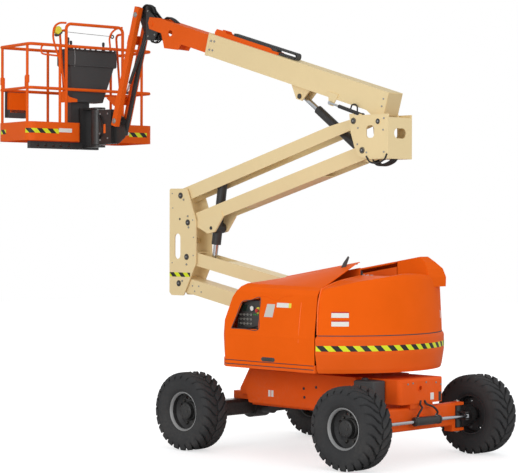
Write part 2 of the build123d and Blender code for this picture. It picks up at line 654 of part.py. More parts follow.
def upper_upright():
    """Open box of plates that carries the main boom and its cylinders."""
    inner = UPPER_HALF - PLATE
    top_x, top_z = UPPER_TOP_PIN
    low_x, low_z = UPPER_BOTTOM_PIN
    arm = [(top_x - 59, top_z + 76), (top_x - 3, top_z + 76), (top_x + 26, top_z + 56), (700, 3604),
           (700, 3300), (low_x - 53, low_z - 53), (low_x - 108, low_z + 36), (top_x - 39, top_z - 117)]
    body = both_sides(SIDE, UPPER_PLATE, inner, UPPER_HALF, 0)
    body += both_sides(SIDE, arm, inner, UPPER_HALF, 0)
    body += box_at(940 - PLATE, 940, -UPPER_HALF + 1, UPPER_HALF - 1, 3140, 3572)
    body += box_at(660, 940, -UPPER_HALF + 1, UPPER_HALF - 1, 3140, 3140 + PLATE)
    hole = SIDE.offset(-UPPER_HALF - 10) * Pos(690, 3427) * Rectangle(110, 130)
    hole = fillet(hole.vertices(), 38)
    body -= extrude(hole, amount=2 * UPPER_HALF + 20)
    rear = Plane(origin=(900, 0, 3406), x_dir=(0, 1, 0), z_dir=(1, 0, 0)) * SlotOverall(190, 105)
    body -= extrude(rear, amount=80)
    # pin, growth of its collars, where the near collar ends; the levelling cylinder passes outside the top one
    for pin, collar, near_end in ((UPPER_TOP_PIN, 6, LEVEL_Y + 27), (UPPER_BOTTOM_PIN, 16, -inner)):
        for side, end in ((-1, near_end), (1, inner)):
            ends = sorted((side * 80, side * (UPPER_HALF + 6)))
            body += cross_pin(SIDE, pin, LINK_PIN_R, *ends)
            ends = sorted((side * (MID_HALF + 6), end))
            body += cross_pin(SIDE, pin, LINK_PIN_R + collar, *ends)
    body += cross_pin(SIDE, BOOM_PIVOT, BOOM_PIN_R, -UPPER_HALF - 6, UPPER_HALF + 6)
    for side in (-1, 1):
        ends = sorted((side * (BOOM_HALF + 6), side * inner))
        body += cross_pin(SIDE, BOOM_PIVOT, BOOM_PIN_R + 18, *ends)
    lug = [(490, 3165), (530, 3195), (640, 3172), (700, 3152), (700, 3140), (660, 3130), (560, 3108),
           (500, 3122)]
    body += both_sides(SIDE, lug, 52, 64, 0)
    body += cross_pin(SIDE, LIFT_BASE, 22, -66, 66)
    body += cross_pin(SIDE, LEVEL_BASE, 14, -UPPER_HALF, LEVEL_Y + 22)
    return body


keep("upper_upright", upper_upright())


# Main boom and fly

BOOM = link_frame(BOOM_PIVOT, BOOM_ANGLE, -1)


def boom_point(u, v):
    """World X and Z of a point of the boom's own frame."""
    at = BOOM.from_local_coords((u, v, 0))
    return (at.X, at.Z)


LIFT_EYE = boom_point(*LIFT_EYE_UV)
LEVEL_EYE = boom_point(*LEVEL_EYE_UV)
NOSE_PIN = boom_point(*NOSE_PIN_UV)


def main_boom():
    """Box boom with hinge ears, lift gusset, level plate and slide pads."""
    top = BOOM_BOTTOM + BOOM_DEPTH
    body = block(BOOM, BOOM_REAR, BOOM_FRONT, BOOM_BOTTOM, top, -BOOM_HALF, BOOM_HALF)
    body -= block(BOOM, BOOM_REAR + BOOM_WALL, BOOM_FRONT + 10, BOOM_BOTTOM + BOOM_WALL,
                  top - BOOM_WALL, -BOOM_HALF + BOOM_WALL, BOOM_HALF - BOOM_WALL)
    ear = make_face(Polyline((-40, 20), (BOOM_REAR, BOOM_BOTTOM + 30), (260, BOOM_BOTTOM + 30),
                             (260, BOOM_BOTTOM), (50, -25), close=True)) + Circle(52)
    for low, high in ((-BOOM_HALF, -BOOM_HALF + 16), (BOOM_HALF - 16, BOOM_HALF)):
        body += thick(BOOM, ear, low, high)
    body -= cross_pin(BOOM, (0, 0), BOOM_PIN_R + PIN_PLAY, -BOOM_HALF - 1, BOOM_HALF + 1)
    u, v = LIFT_EYE_UV
    gusset = [(u - 130, BOOM_BOTTOM + 4), (u - 45, v - 42), (u + 45, v - 42),
              (u + 170, BOOM_BOTTOM + 4)]
    body += both_sides(BOOM, gusset, 56, 70, 0)
    for side in (-1, 1):
        body += cross_pin(BOOM, (u, v), 30, *sorted((side * 52, side * 80)))
    u, v = LEVEL_EYE_UV
    plate = [(u - 75, BOOM_BOTTOM + 60), (u - 30, v - 28), (u + 30, v - 28), (u + 75, BOOM_BOTTOM + 60)]
    body += slab(BOOM, plate, -BOOM_HALF - PLATE, -BOOM_HALF, 0)
    for low, high in ((-BOOM_HALF + BOOM_WALL - 1, -FLY_HALF - PAD_PLAY),
                      (FLY_HALF + PAD_PLAY, BOOM_HALF - BOOM_WALL + 1)):
        for v_low in (BOOM_BOTTOM + 40, top - 100):
            body += block(BOOM, BOOM_FRONT - 90, BOOM_FRONT, v_low, v_low + 60, low, high)
    return body


def fly_boom():
    """Inner boom that slides out, with the nose that carries the jib bracket."""
    top = FLY_BOTTOM + FLY_DEPTH
    body = block(BOOM, FLY_REAR, FLY_FRONT, FLY_BOTTOM, top, -FLY_HALF, FLY_HALF)
    body -= block(BOOM, FLY_REAR - 10, FLY_FRONT + 10, FLY_BOTTOM + FLY_WALL, top - FLY_WALL,
                  -FLY_HALF + FLY_WALL, FLY_HALF - FLY_WALL)
    nose = [(3300, FLY_BOTTOM + 20), (3341, 5), (3577, -28), (3679, 129), (3903, 134),
            (3944, 200), (3935, 268), (3748, 297), (3640, top + 2), (3300, top - 20)]
    body += both_sides(BOOM, nose, FLY_HALF - PLATE, FLY_HALF, 0)
    eye = BOOM.offset(-FLY_HALF - 5) * Pos(3525, 164) * RegularPolygon(38, 8)
    body -= extrude(eye, amount=2 * FLY_HALF + 10)
    body += cross_pin(BOOM, NOSE_PIN_UV, 28, -FLY_HALF - 6, FLY_HALF + 6)
    return body


keep("main_boom", main_boom())
keep("fly_boom", fly_boom())


def hose_tray():
    """Narrow tray on the boom top with the hose carrier standing in it."""
    top = BOOM_BOTTOM + BOOM_DEPTH
    tray = block(BOOM, 1750, 2800, top, top + 30, -70, 30)
    return tray - block(BOOM, 1760, 2790, top + 5, top + 40, -64, 24)


def hose_carrier():
    """Folded link carrier, one plain loop in the tray."""
    top = BOOM_BOTTOM + BOOM_DEPTH
    return block(BOOM, 1780, 2500, top + 5, top + 60, -60, 20)


keep("hose_tray", hose_tray())
keep("hose_carrier", hose_carrier())


# Cylinders

def barrel(start, end, length, radius, bore, y, eye_r, eye_half, bore_from):
    """Cylinder barrel from its base eye towards the rod's eye."""
    frame = line_frame(start, end)
    round_frame = Plane(origin=frame.origin + Vector(0, y, 0), x_dir=(0, 1, 0), z_dir=frame.x_dir)
    tube = extrude(round_frame.offset(eye_r * 0.6) * Circle(radius), amount=length - eye_r * 0.6)
    tube += cross_pin(frame, (0, 0), eye_r, y - eye_half, y + eye_half)
    tube -= extrude(round_frame.offset(bore_from) * Circle(bore), amount=length)
    return tube


def rod(start, end, tail, radius, y, eye_r, eye_half):
    """Piston rod from its tail inside the barrel to its eye."""
    frame = line_frame(start, end)
    reach = math.dist(start, end)
    round_frame = Plane(origin=frame.origin + Vector(0, y, 0), x_dir=(0, 1, 0), z_dir=frame.x_dir)
    shaft = extrude(round_frame.offset(tail) * Circle(radius), amount=reach - tail)
    return shaft + cross_pin(frame, (reach, 0), eye_r, y - eye_half, y + eye_half)


def lift_barrel():
    """Boom lift cylinder barrel, bored for its base pin."""
    tube = barrel(LIFT_BASE, LIFT_EYE, 940, 48, 31, 0, 42, 46, 90)
    return tube - cross_pin(SIDE, LIFT_BASE, 22 + PIN_PLAY, -60, 60)


keep("lift_barrel", lift_barrel())
keep("lift_rod", rod(LIFT_BASE, LIFT_EYE, 205, 30, 0, 38, 46))


def level_barrel():
    """Levelling cylinder barrel, bored for its stub pin."""
    tube = barrel(LEVEL_BASE, LEVEL_EYE, 350, 20, 12.5, LEVEL_Y, 23, 14, 36)
    return tube - cross_pin(SIDE, LEVEL_BASE, 14 + PIN_PLAY, LEVEL_Y - 30, LEVEL_Y + 30)


keep("level_barrel", level_barrel())
keep("level_rod", rod(LEVEL_BASE, LEVEL_EYE, 100, 12, LEVEL_Y, 20, 13))


def tower_barrel():
    """Tower cylinder barrel, hung by trunnions near its lower end."""
    frame = line_frame(TOWER_TRUNNION, TOWER_EYE)
    round_frame = Plane(origin=frame.origin, x_dir=(0, 1, 0), z_dir=frame.x_dir)
    tube = extrude(round_frame.offset(-515) * Circle(55), amount=515 + 190)
    tube += cross_pin(SIDE, TOWER_TRUNNION, 20, -115, 115)
    tube += cross_pin(SIDE, TOWER_TRUNNION, 60, -75, 75)
    return tube - extrude(round_frame.offset(-495) * Circle(31), amount=495 + 200)


def tower_rod():
    """Tower cylinder rod with its eye in the link below."""
    frame = line_frame(TOWER_TRUNNION, TOWER_EYE)
    round_frame = Plane(origin=frame.origin, x_dir=(0, 1, 0), z_dir=frame.x_dir)
    reach = math.dist(TOWER_TRUNNION, TOWER_EYE)
    shaft = extrude(round_frame.offset(-310) * Circle(30), amount=310 + reach)
    return shaft + cross_pin(frame, (reach, 0), 34, -45, 45)


keep("tower_barrel", tower_barrel())
keep("tower_rod", tower_rod())


# Jib

JIB = line_frame(JIB_TOP, JIB_BOTTOM)
JIB_LEN = math.dist(JIB_TOP, JIB_BOTTOM)
LINK_TOP = (JIB_TOP[0] + LEVEL_LINK_OFFSET[0], JIB_TOP[1] + LEVEL_LINK_OFFSET[1])
LINK_BOTTOM = (JIB_BOTTOM[0] + LEVEL_LINK_OFFSET[0], JIB_BOTTOM[1] + LEVEL_LINK_OFFSET[1])


def jib_bracket():
    """Nose bracket that stays level and carries the jib arms."""
    web = [(-3170, 5025), (-3040, 5070), (-2960, 5050), (-2900, 4965), (-2800, 4870), (-2790, 4720),
           (-2840, 4640), (-3010, 4650), (-3085, 4740), (-3150, 4880)]
    cheek = [(-2985, 5045), (-2900, 4965), (-2800, 4870), (-2790, 4720), (-2840, 4640), (-2985, 4650)]
    body = slab(SIDE, web, -6, 6, 0) + both_sides(SIDE, cheek, 50, 66, 0)
    body += cross_pin(SIDE, NOSE_PIN, 46, -66, 66)
    body += slab(SIDE, [(-2985, 5045), (-2960, 5050), (-2960, 4655), (-2985, 4650)], -66, 66, 0)
    body += cross_pin(SIDE, JIB_TOP, 34, -50, 50) + cross_pin(SIDE, JIB_TOP, JIB_PIN_R, -126, 126)
    body += cross_pin(SIDE, LINK_TOP, 16, 0, 52) + cross_pin(SIDE, JIB_BASE, 14, -52, 0)
    return body - cross_pin(SIDE, NOSE_PIN, 28 + PIN_PLAY, -80, 80)


def jib_arm():
    """Twin rectangular tubes side by side, tied by two outer plates."""
    outer = JIB_GAP_HALF + JIB_TUBE_W
    half = JIB_TUBE_D / 2
    body = None
    for low in (-outer, JIB_GAP_HALF):
        tube = block(JIB, -95, JIB_LEN + 60, -half, half, low, low + JIB_TUBE_W)
        tube -= block(JIB, -120, JIB_LEN + 100, -half + JIB_WALL, half - JIB_WALL,
                      low + JIB_WALL, low + JIB_TUBE_W - JIB_WALL)
        body = tube if body is None else body + tube
    for s in (260, 1010):
        body += block(JIB, s, s + 110, -half - 8, -half, -outer, outer)
    for s in (0, JIB_LEN):
        body -= cross_pin(JIB, (s, 0), JIB_PIN_R + PIN_PLAY, -outer - 1, outer + 1)
    return body


def jib_level_link():
    """Flat link beside the jib cylinder that keeps the platform level."""
    frame = line_frame(LINK_TOP, LINK_BOTTOM)
    body = thick(frame, rounded_link(JIB_LEN, 44, 26), 12, 48)
    for s in (0, JIB_LEN):
        body -= cross_pin(frame, (s, 0), 16 + PIN_PLAY, 0, 60)
    return body


def jib_eye():
    """Where the jib cylinder's rod eye sits between the arms."""
    at = JIB.from_local_coords((JIB_EYE_S, JIB_EYE_OUT, 0))
    return (at.X, at.Z)


keep("jib_bracket", jib_bracket())
keep("jib_arm", jib_arm())
keep("jib_level_link", jib_level_link())
JIB_EYE = jib_eye()
JIB_CYL_Y = -31.0


def jib_barrel():
    """Jib cylinder barrel, bored for its stub pin."""
    tube = barrel(JIB_BASE, JIB_EYE, 620, 20, 11.5, JIB_CYL_Y, 22, 14, 40)
    return tube - cross_pin(SIDE, JIB_BASE, 14 + PIN_PLAY, JIB_CYL_Y - 24, JIB_CYL_Y + 24)


keep("jib_barrel", jib_barrel())
keep("jib_rod", rod(JIB_BASE, JIB_EYE, 95, 10.5, JIB_CYL_Y, 18, 13))


def turn_actuator():
    """Level bracket at the jib's foot with the upright turning actuator."""
    web = [(-3455, 3745), (-3430, 3560), (-3440, 3505), (-3560, 3430), (TURN_X + 60, 3430),
           (TURN_X + 60, 3850), (-3700, 3850), (-3560, 3790)]
    body = slab(SIDE, web, -6, 6, 0)
    body += both_sides(SIDE, [(-3640, 3430), (TURN_X + 60, 3430), (TURN_X + 60, 3850), (-3640, 3850)],
                       40, 56, 0)
    body += box_at(-3652, -3640, -56, 56, 3430, 3850)
    body += cross_pin(SIDE, JIB_BOTTOM, 34, -50, 50)
    body += cross_pin(SIDE, JIB_BOTTOM, JIB_PIN_R, -122, 122)
    body += cross_pin(SIDE, LINK_BOTTOM, 16, 0, 52)
    body += post_at(TURN_X, 0, 3425, 3855, 92)
    return body


keep("turn_actuator", turn_actuator())


# Platform, drawn with its turning axis at the origin and its long side along Y

def platform_plan(inset):
    """Rounded outline of the tray, with the recess for the turning actuator."""
    near = -PLATFORM_OUT + PLATFORM_W / 2 - inset
    far = -PLATFORM_OUT - PLATFORM_W / 2 + inset
    end = PLATFORM_L / 2 - inset
    notch = 170 + inset
    depth = near - 120
    face = make_face(Polyline(
        (far, -end), (near, -end), (near, -notch), (depth, -notch), (depth, notch), (near, notch),
        (near, end), (far, end), close=True))
    outer = [v for v in face.vertices() if abs(abs(v.Y) - end) < 1]
    face = fillet(outer, PLATFORM_CORNER - inset)
    inner = [v for v in face.vertices() if abs(abs(v.Y) - notch) < 1]
    return fillet(inner, 45)


def in_place(shape):
    """Turn and move a platform piece to where it stands."""
    return Pos(TURN_X, 0, 0) * Rot(0, 0, PLATFORM_ANGLE) * shape


def platform_tray():
    """Floor with its kick plates."""
    body = Pos(0, 0, TRAY_BOTTOM) * extrude(platform_plan(0), amount=KICK_TOP - TRAY_BOTTOM)
    body -= Pos(0, 0, FLOOR_Z) * extrude(platform_plan(TRAY_WALL), amount=500)
    body -= Pos(0, 0, TRAY_BOTTOM - 50) * extrude(platform_plan(TRAY_WALL),
                                                  amount=FLOOR_Z - 12 - TRAY_BOTTOM + 50)
    return body


keep("platform_tray", in_place(platform_tray()))

RAIL_INSET = RAIL_R + TRAY_WALL + 1
NEAR_X = -PLATFORM_OUT + PLATFORM_W / 2 - RAIL_INSET
FAR_X = -PLATFORM_OUT - PLATFORM_W / 2 + RAIL_INSET
END_Y = PLATFORM_L / 2 - RAIL_INSET
HIGH_LOW_Y = -370.0
HIGH_HIGH_Y = 460.0
RAIL_BEND = 90.0


def rail_loop(z):
    """Rail round three sides and both corners of the entry end."""
    return pipe([(NEAR_X - GATE_POST, -END_Y, z), (NEAR_X, -END_Y, z), (NEAR_X, END_Y, z),
                 (FAR_X, END_Y, z), (FAR_X, -END_Y, z), (FAR_X + GATE_POST, -END_Y, z)],
                RAIL_R, GATE_POST - 1)


def platform_rails():
    """Posts, top and middle rails and the raised rail over the console."""
    body = rail_loop(TOP_RAIL_Z) + rail_loop(MID_RAIL_Z)
    body += pipe([(NEAR_X - GATE_POST, -END_Y, TOP_RAIL_Z), (FAR_X + GATE_POST, -END_Y, TOP_RAIL_Z)],
                 RAIL_R, 10)
    # x, y of each post
    posts = [
        (NEAR_X - GATE_POST, -END_Y), (FAR_X + GATE_POST, -END_Y), (NEAR_X, -460),
        (NEAR_X, END_Y - 140), (FAR_X, -200), (FAR_X, END_Y - 140),
    ]
    for x, y in posts:
        body += post_at(x, y, FLOOR_Z, TOP_RAIL_Z, POST_R)
    body += pipe([(NEAR_X, HIGH_LOW_Y, FLOOR_Z), (NEAR_X, HIGH_LOW_Y, HIGH_RAIL_Z),
                  (NEAR_X, HIGH_HIGH_Y, HIGH_RAIL_Z), (NEAR_X, HIGH_HIGH_Y, FLOOR_Z)], RAIL_R, 70)
    for y in (HIGH_LOW_Y, HIGH_HIGH_Y):
        body += pipe([(NEAR_X, y, HIGH_RAIL_Z - 80), (NEAR_X - 150, y, HIGH_RAIL_Z - 80),
                      (NEAR_X - 60, y, MID_RAIL_Z + 20), (NEAR_X, y, MID_RAIL_Z - 60)], 14, 50)
        plates = slab(SIDE, [(NEAR_X - 110, MID_RAIL_Z - 130), (NEAR_X, MID_RAIL_Z - 170),
                             (NEAR_X, MID_RAIL_Z + 60), (NEAR_X - 70, MID_RAIL_Z + 20)], y - 5, y + 5)
        body += plates
    return body


POST_R = RAIL_R * 0.9
SLEEVE_Z = MID_RAIL_Z + 62


def platform_gate():
    """Entry bar whose sleeves slide up their posts."""
    x_near, x_far, y = NEAR_X - GATE_POST, FAR_X + GATE_POST, -END_Y
    body = pipe([(x_far + 40, y, MID_RAIL_Z), (x_near - 40, y, MID_RAIL_Z)], POST_R, 10)
    for x, way in ((x_far, 1), (x_near, -1)):
        sleeve = post_at(x, y, SLEEVE_Z, SLEEVE_Z + 90, POST_R + 9)
        ends = sorted((x + way * 23, x + way * 56))
        tab = box_at(*ends, y - 5, y + 5, MID_RAIL_Z - 10, SLEEVE_Z + 80)
        body += sleeve + tab
        body -= post_at(x, y, SLEEVE_Z - 10, SLEEVE_Z + 100, POST_R + 1.5)
    return body


keep("platform_rails", in_place(platform_rails()))
keep("platform_gate", in_place(platform_gate()))


def platform_mount():
    """Clamps round the actuator and the holed beam under the floor."""
    back = -PLATFORM_OUT + PLATFORM_W / 2 - 120
    body = box_at(back, 0, -85, 85, 3862, 3884) + post_at(0, 0, 3862, 3884, 85)
    body += box_at(back, 0, -85, 85, 3394, 3418) + post_at(0, 0, 3394, 3418, 85)
    body += box_at(back, back + 26, -120, 120, 3394, 3884)
    beam = box_at(back - 40, back + 26, -840, 150, 3372, 3460)
    for step in range(5):
        beam -= Pos(back, -730 + 110 * step, 3416) * Rot(0, 90, 0) * Cylinder(MOUNT_HOLE_R, 200)
    return body + beam


MOUNT_HOLE_R = 20.0
keep("platform_mount", in_place(platform_mount()))


def platform_console():
    """Control box over a tapered housing inside the rail."""
    top = box_at(NEAR_X - 290, NEAR_X - 30, -330, 400, 4400, 4600)
    top = fillet(top.edges(), 22)
    lower = Pos(NEAR_X - 150, -20, 3960) * Rectangle(190, 440)
    upper = Pos(NEAR_X - 150, 35, 4401) * Rectangle(220, 640)
    body = loft([lower, upper], ruled=True)
    foot = box_at(NEAR_X - 245, NEAR_X - 115, -230, 40, FLOOR_Z, 3965)
    inner = loft([Pos(NEAR_X - 150, -20, 3968) * Rectangle(174, 424),
                  Pos(NEAR_X - 150, 35, 4411) * Rectangle(204, 624)], ruled=True)
    inner += box_at(NEAR_X - 280, NEAR_X - 40, -320, 390, 4410, 4590)
    inner += box_at(NEAR_X - 237, NEAR_X - 123, -222, 32, FLOOR_Z - 1, 3972)
    return top + body + foot - inner


keep("platform_console", in_place(platform_console()))
keep("document_box", in_place(box_at(FAR_X + 22, FAR_X + 92, -800, -560, 3830, 4080)))


# Hand over

def finish():
    """Move every piece over the machine's own middle and write it."""
    os.makedirs("parts", exist_ok=True)
    whole = Compound(children=[Compound(list(shape.solids())) for shape in NODES.values()])
    box = whole.bounding_box()
    shift = Pos(-(box.min.X + box.max.X) / 2, -(box.min.Y + box.max.Y) / 2, 0)
    for name, shape in NODES.items():
        solids = (shift * shape).solids()
        moved = solids[0] if len(solids) == 1 else Compound(list(solids))
        export_step(moved, "parts/" + name + ".step")
    return shift.position


SHIFT = finish()
print("moved by", SHIFT)
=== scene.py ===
"""Looks of a four-wheeled articulated boom lift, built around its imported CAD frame.

Sizes are in millimetres about the slewing axis, as a fitter would measure them: +X towards the counterweight,
-X towards the work platform, -Y the near side and +Z up. They are turned into metres of the row frame on the way
into a mesh.
"""

from __future__ import annotations

import json
import logging
import math
from collections.abc import Callable, Iterable, Sequence
from dataclasses import dataclass, field
from enum import Enum

import bmesh
import bpy
import numpy as np
from mathutils import Matrix, Vector

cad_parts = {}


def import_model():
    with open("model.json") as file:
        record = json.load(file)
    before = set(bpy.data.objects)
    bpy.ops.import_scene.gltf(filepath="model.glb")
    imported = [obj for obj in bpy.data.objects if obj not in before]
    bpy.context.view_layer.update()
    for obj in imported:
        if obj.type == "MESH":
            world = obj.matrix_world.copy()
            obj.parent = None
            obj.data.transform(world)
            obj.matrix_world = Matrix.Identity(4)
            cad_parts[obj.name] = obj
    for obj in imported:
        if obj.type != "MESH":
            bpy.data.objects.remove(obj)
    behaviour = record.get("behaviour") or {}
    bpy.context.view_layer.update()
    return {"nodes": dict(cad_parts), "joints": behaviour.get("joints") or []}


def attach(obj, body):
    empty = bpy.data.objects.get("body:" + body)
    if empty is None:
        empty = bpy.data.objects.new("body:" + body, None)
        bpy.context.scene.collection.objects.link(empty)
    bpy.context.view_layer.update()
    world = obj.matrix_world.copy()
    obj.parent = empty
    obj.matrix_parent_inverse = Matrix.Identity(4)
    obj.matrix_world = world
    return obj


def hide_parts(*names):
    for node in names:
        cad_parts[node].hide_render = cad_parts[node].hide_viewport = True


LOG = logging.getLogger("boom_lift")
MM = 0.001
Array = np.ndarray
Colour = tuple[float, float, float]
Vec = Sequence[float]
Points = Sequence[Vec]


def srgb(red: int, green: int, blue: int) -> Colour:
    """Linear colour of an 8-bit sRGB one.

    Args:
        red: Red, 0 to 255.
        green: Green, 0 to 255.
        blue: Blue, 0 to 255.

    Returns:
        The three linear values.
    """
    values = np.array([red, green, blue]) / 255.0
    linear = np.where(values <= 0.04045, values / 12.92, ((values + 0.055) / 1.055) ** 2.4)
    return tuple(float(v) for v in linear)


class Axis(Enum):
    """Unit vectors of the machine that pieces face along."""

    X = (1.0, 0.0, 0.0)
    Z = (0.0, 0.0, 1.0)
    NEG_Y = (0.0, -1.0, 0.0)
    NEG_Z = (0.0, 0.0, -1.0)


# Shader groups


class ShaderGroup:
    """A node group with named sockets, built once and placed in each material."""

    def __init__(self, name: str, inputs: Sequence[tuple[str, str, object]], outputs: Sequence[tuple[str, str]]):
        """Opens an empty group.

        Args:
            name: Name of the group.
            inputs: Name, socket type and default of each input.
            outputs: Name and socket type of each output.
        """
        self.tree = bpy.data.node_groups.new(name, "ShaderNodeTree")
        for label, kind, default in inputs:
            socket = self.tree.interface.new_socket(name=label, in_out="INPUT", socket_type=kind)
            socket.default_value = default
        for label, kind in outputs:
            self.tree.interface.new_socket(name=label, in_out="OUTPUT", socket_type=kind)
        self.source = self.node("NodeGroupInput")
        self.sink = self.node("NodeGroupOutput")

    def node(self, kind: str, **values: object) -> bpy.types.Node:
        """Adds a node and sets its properties."""
        made = self.tree.nodes.new(kind)
        for key, value in values.items():
            setattr(made, key, value)
        return made

    def link(self, start: bpy.types.NodeSocket, end: bpy.types.NodeSocket) -> None:
        """Joins two sockets."""
        self.tree.links.new(start, end)

    def noise(self, scale: object, detail: float, roughness: float = 0.55) -> bpy.types.Node:
        """Adds a noise texture on Object coordinates.

        Args:
            scale: A number, or the socket that gives it.
            detail: Octaves.
            roughness: Weight of the fine octaves.

        Returns:
            The noise node.
        """
        coords = self.node("ShaderNodeTexCoord")
        made = self.node("ShaderNodeTexNoise")
        made.inputs["Detail"].default_value = detail
        made.inputs["Roughness"].default_value = roughness
        self.link(coords.outputs["Object"], made.inputs["Vector"])
        if isinstance(scale, bpy.types.NodeSocket):
            self.link(scale, made.inputs["Scale"])
        else:
            made.inputs["Scale"].default_value = scale
        return made

    def ramp(self, value: bpy.types.NodeSocket, low: float, high: float) -> bpy.types.NodeSocket:
        """Maps low..high of a value to 0..1 and clamps it."""
        made = self.node("ShaderNodeMapRange", clamp=True)
        made.inputs["From Min"].default_value = low
        made.inputs["From Max"].default_value = high
        self.link(value, made.inputs["Value"])
        return made.outputs["Result"]

    def maths(self, operation: str, *values: object, clamp: bool = False) -> bpy.types.NodeSocket:
        """Works out one value from sockets or numbers.

        Args:
            operation: Kind of sum, as the Math node names it.
            values: A socket or a number for each input in turn.
            clamp: Keeps the result within 0 to 1.

        Returns:
            The socket of the result.
        """
        made = self.node("ShaderNodeMath", operation=operation, use_clamp=clamp)
        for socket, value in zip(made.inputs, values):
            if isinstance(value, bpy.types.NodeSocket):
                self.link(value, socket)
            else:
                socket.default_value = value
        return made.outputs[0]

    def times(self, first: bpy.types.NodeSocket, second: object) -> bpy.types.NodeSocket:
        """Multiplies a value by a socket or a number."""
        return self.maths("MULTIPLY", first, second)

    def blend(self, mask: bpy.types.NodeSocket, first: bpy.types.NodeSocket,
              second: bpy.types.NodeSocket) -> bpy.types.NodeSocket:
        """Mixes two colours by a mask."""
        made = self.node("ShaderNodeMix", data_type="RGBA")
        self.link(mask, made.inputs["Factor"])
        self.link(first, made.inputs["A"])
        self.link(second, made.inputs["B"])
        return made.outputs["Result"]


def weather_group() -> bpy.types.NodeTree:
    """Group that dusts a finish: more in the lows near the ground, with broad cloudy shifts of tone.

    Returns:
        The node tree, with Colour and Mask outputs.
    """
    group = ShaderGroup(
        "weathering",
        [("Base", "NodeSocketColor", (0.5, 0.5, 0.5, 1.0)),
         ("Dust", "NodeSocketColor", (0.42, 0.37, 0.3, 1.0)),
         ("Amount", "NodeSocketFloat", 0.1), ("Tone", "NodeSocketFloat", 0.06),
         ("Height", "NodeSocketFloat", 0.6)],
        [("Colour", "NodeSocketColor"), ("Mask", "NodeSocketFloat")],
    )
    cloud = group.noise(1.7, 4.0)
    speck = group.noise(38.0, 6.0, 0.7)
    coords = group.node("ShaderNodeTexCoord")
    split = group.node("ShaderNodeSeparateXYZ")
    group.link(coords.outputs["Object"], split.inputs[0])
    low = group.node("ShaderNodeMapRange", clamp=True)
    low.inputs["From Min"].default_value = 0.0
    low.inputs["To Min"].default_value = 1.0
    low.inputs["To Max"].default_value = 0.0
    group.link(group.source.outputs["Height"], low.inputs["From Max"])
    group.link(split.outputs["Z"], low.inputs["Value"])
    patches = group.times(group.ramp(cloud.outputs["Fac"], 0.4, 0.72),
                          group.ramp(speck.outputs["Fac"], 0.35, 0.7))
    lift = group.maths("ADD", low.outputs["Result"], 0.25)
    mask = group.times(group.times(patches, lift), group.source.outputs["Amount"])
    shade = group.node("ShaderNodeHueSaturation")
    value = group.node("ShaderNodeMapRange")
    value.inputs["From Min"].default_value = 0.3
    value.inputs["From Max"].default_value = 0.7
    group.link(group.maths("SUBTRACT", 1.0, group.source.outputs["Tone"]), value.inputs["To Min"])
    group.link(group.maths("ADD", 1.0, group.source.outputs["Tone"]), value.inputs["To Max"])
    group.link(cloud.outputs["Fac"], value.inputs["Value"])
    group.link(value.outputs["Result"], shade.inputs["Value"])
    group.link(group.source.outputs["Base"], shade.inputs["Color"])
    dusted = group.blend(mask, shade.outputs["Color"], group.source.outputs["Dust"])
    group.link(dusted, group.sink.inputs["Colour"])
    group.link(mask, group.sink.inputs["Mask"])
    return group.tree


def relief_group() -> bpy.types.NodeTree:
    """Group that gives a surface its fine relief: orange peel, casting skin or moulded grain.

    Returns:
        The node tree, with Normal and Rough outputs.
    """
    group = ShaderGroup(
        "fine_relief",
        [("Scale", "NodeSocketFloat", 300.0), ("Depth", "NodeSocketFloat", 0.0002),
         ("Rough", "NodeSocketFloat", 0.3), ("Spread", "NodeSocketFloat", 0.1)],
        [("Normal", "NodeSocketVector"), ("Rough", "NodeSocketFloat")],
    )
    grain = group.noise(group.source.outputs["Scale"], 3.0)
    broad = group.noise(3.1, 5.0)
    bump = group.node("ShaderNodeBump")
    bump.inputs["Strength"].default_value = 1.0
    group.link(group.source.outputs["Depth"], bump.inputs["Distance"])
    group.link(grain.outputs["Fac"], bump.inputs["Height"])
    group.link(bump.outputs["Normal"], group.sink.inputs["Normal"])
    swing = group.times(group.ramp(broad.outputs["Fac"], 0.3, 0.7), group.source.outputs["Spread"])
    total = group.maths("ADD", group.source.outputs["Rough"], swing, clamp=True)
    group.link(total, group.sink.inputs["Rough"])
    return group.tree


def stripe_group() -> bpy.types.NodeTree:
    """Group of slanted warning bars on a piece's own UV map, in metres along it.

    Returns:
        The node tree, with a Colour output.
    """
    group = ShaderGroup(
        "warning_bars",
        [("Dark", "NodeSocketColor", (0.01, 0.01, 0.01, 1.0)),
         ("Bright", "NodeSocketColor", (0.6, 0.7, 0.02, 1.0)),
         ("Pitch", "NodeSocketFloat", 0.1), ("Slant", "NodeSocketFloat", 1.0)],
        [("Colour", "NodeSocketColor")],
    )
    coords = group.node("ShaderNodeTexCoord")
    split = group.node("ShaderNodeSeparateXYZ")
    group.link(coords.outputs["UV"], split.inputs[0])
    lean = group.times(split.outputs["Y"], group.source.outputs["Slant"])
    turns = group.maths("DIVIDE", group.maths("ADD", split.outputs["X"], lean), group.source.outputs["Pitch"])
    bright = group.maths("GREATER_THAN", group.maths("FRACT", turns), 0.5)
    bars = group.blend(bright, group.source.outputs["Dark"], group.source.outputs["Bright"])
    group.link(bars, group.sink.inputs["Colour"])
    return group.tree


class Groups:
    """The shader groups, each built the first time it is asked for."""

    made: dict[str, bpy.types.NodeTree] = {}

    @classmethod
    def get(cls, name: str, builder: Callable[[], bpy.types.NodeTree]) -> bpy.types.NodeTree:
        """The group of that name."""
        if name not in cls.made:
            cls.made[name] = builder()
        return cls.made[name]


# Finishes


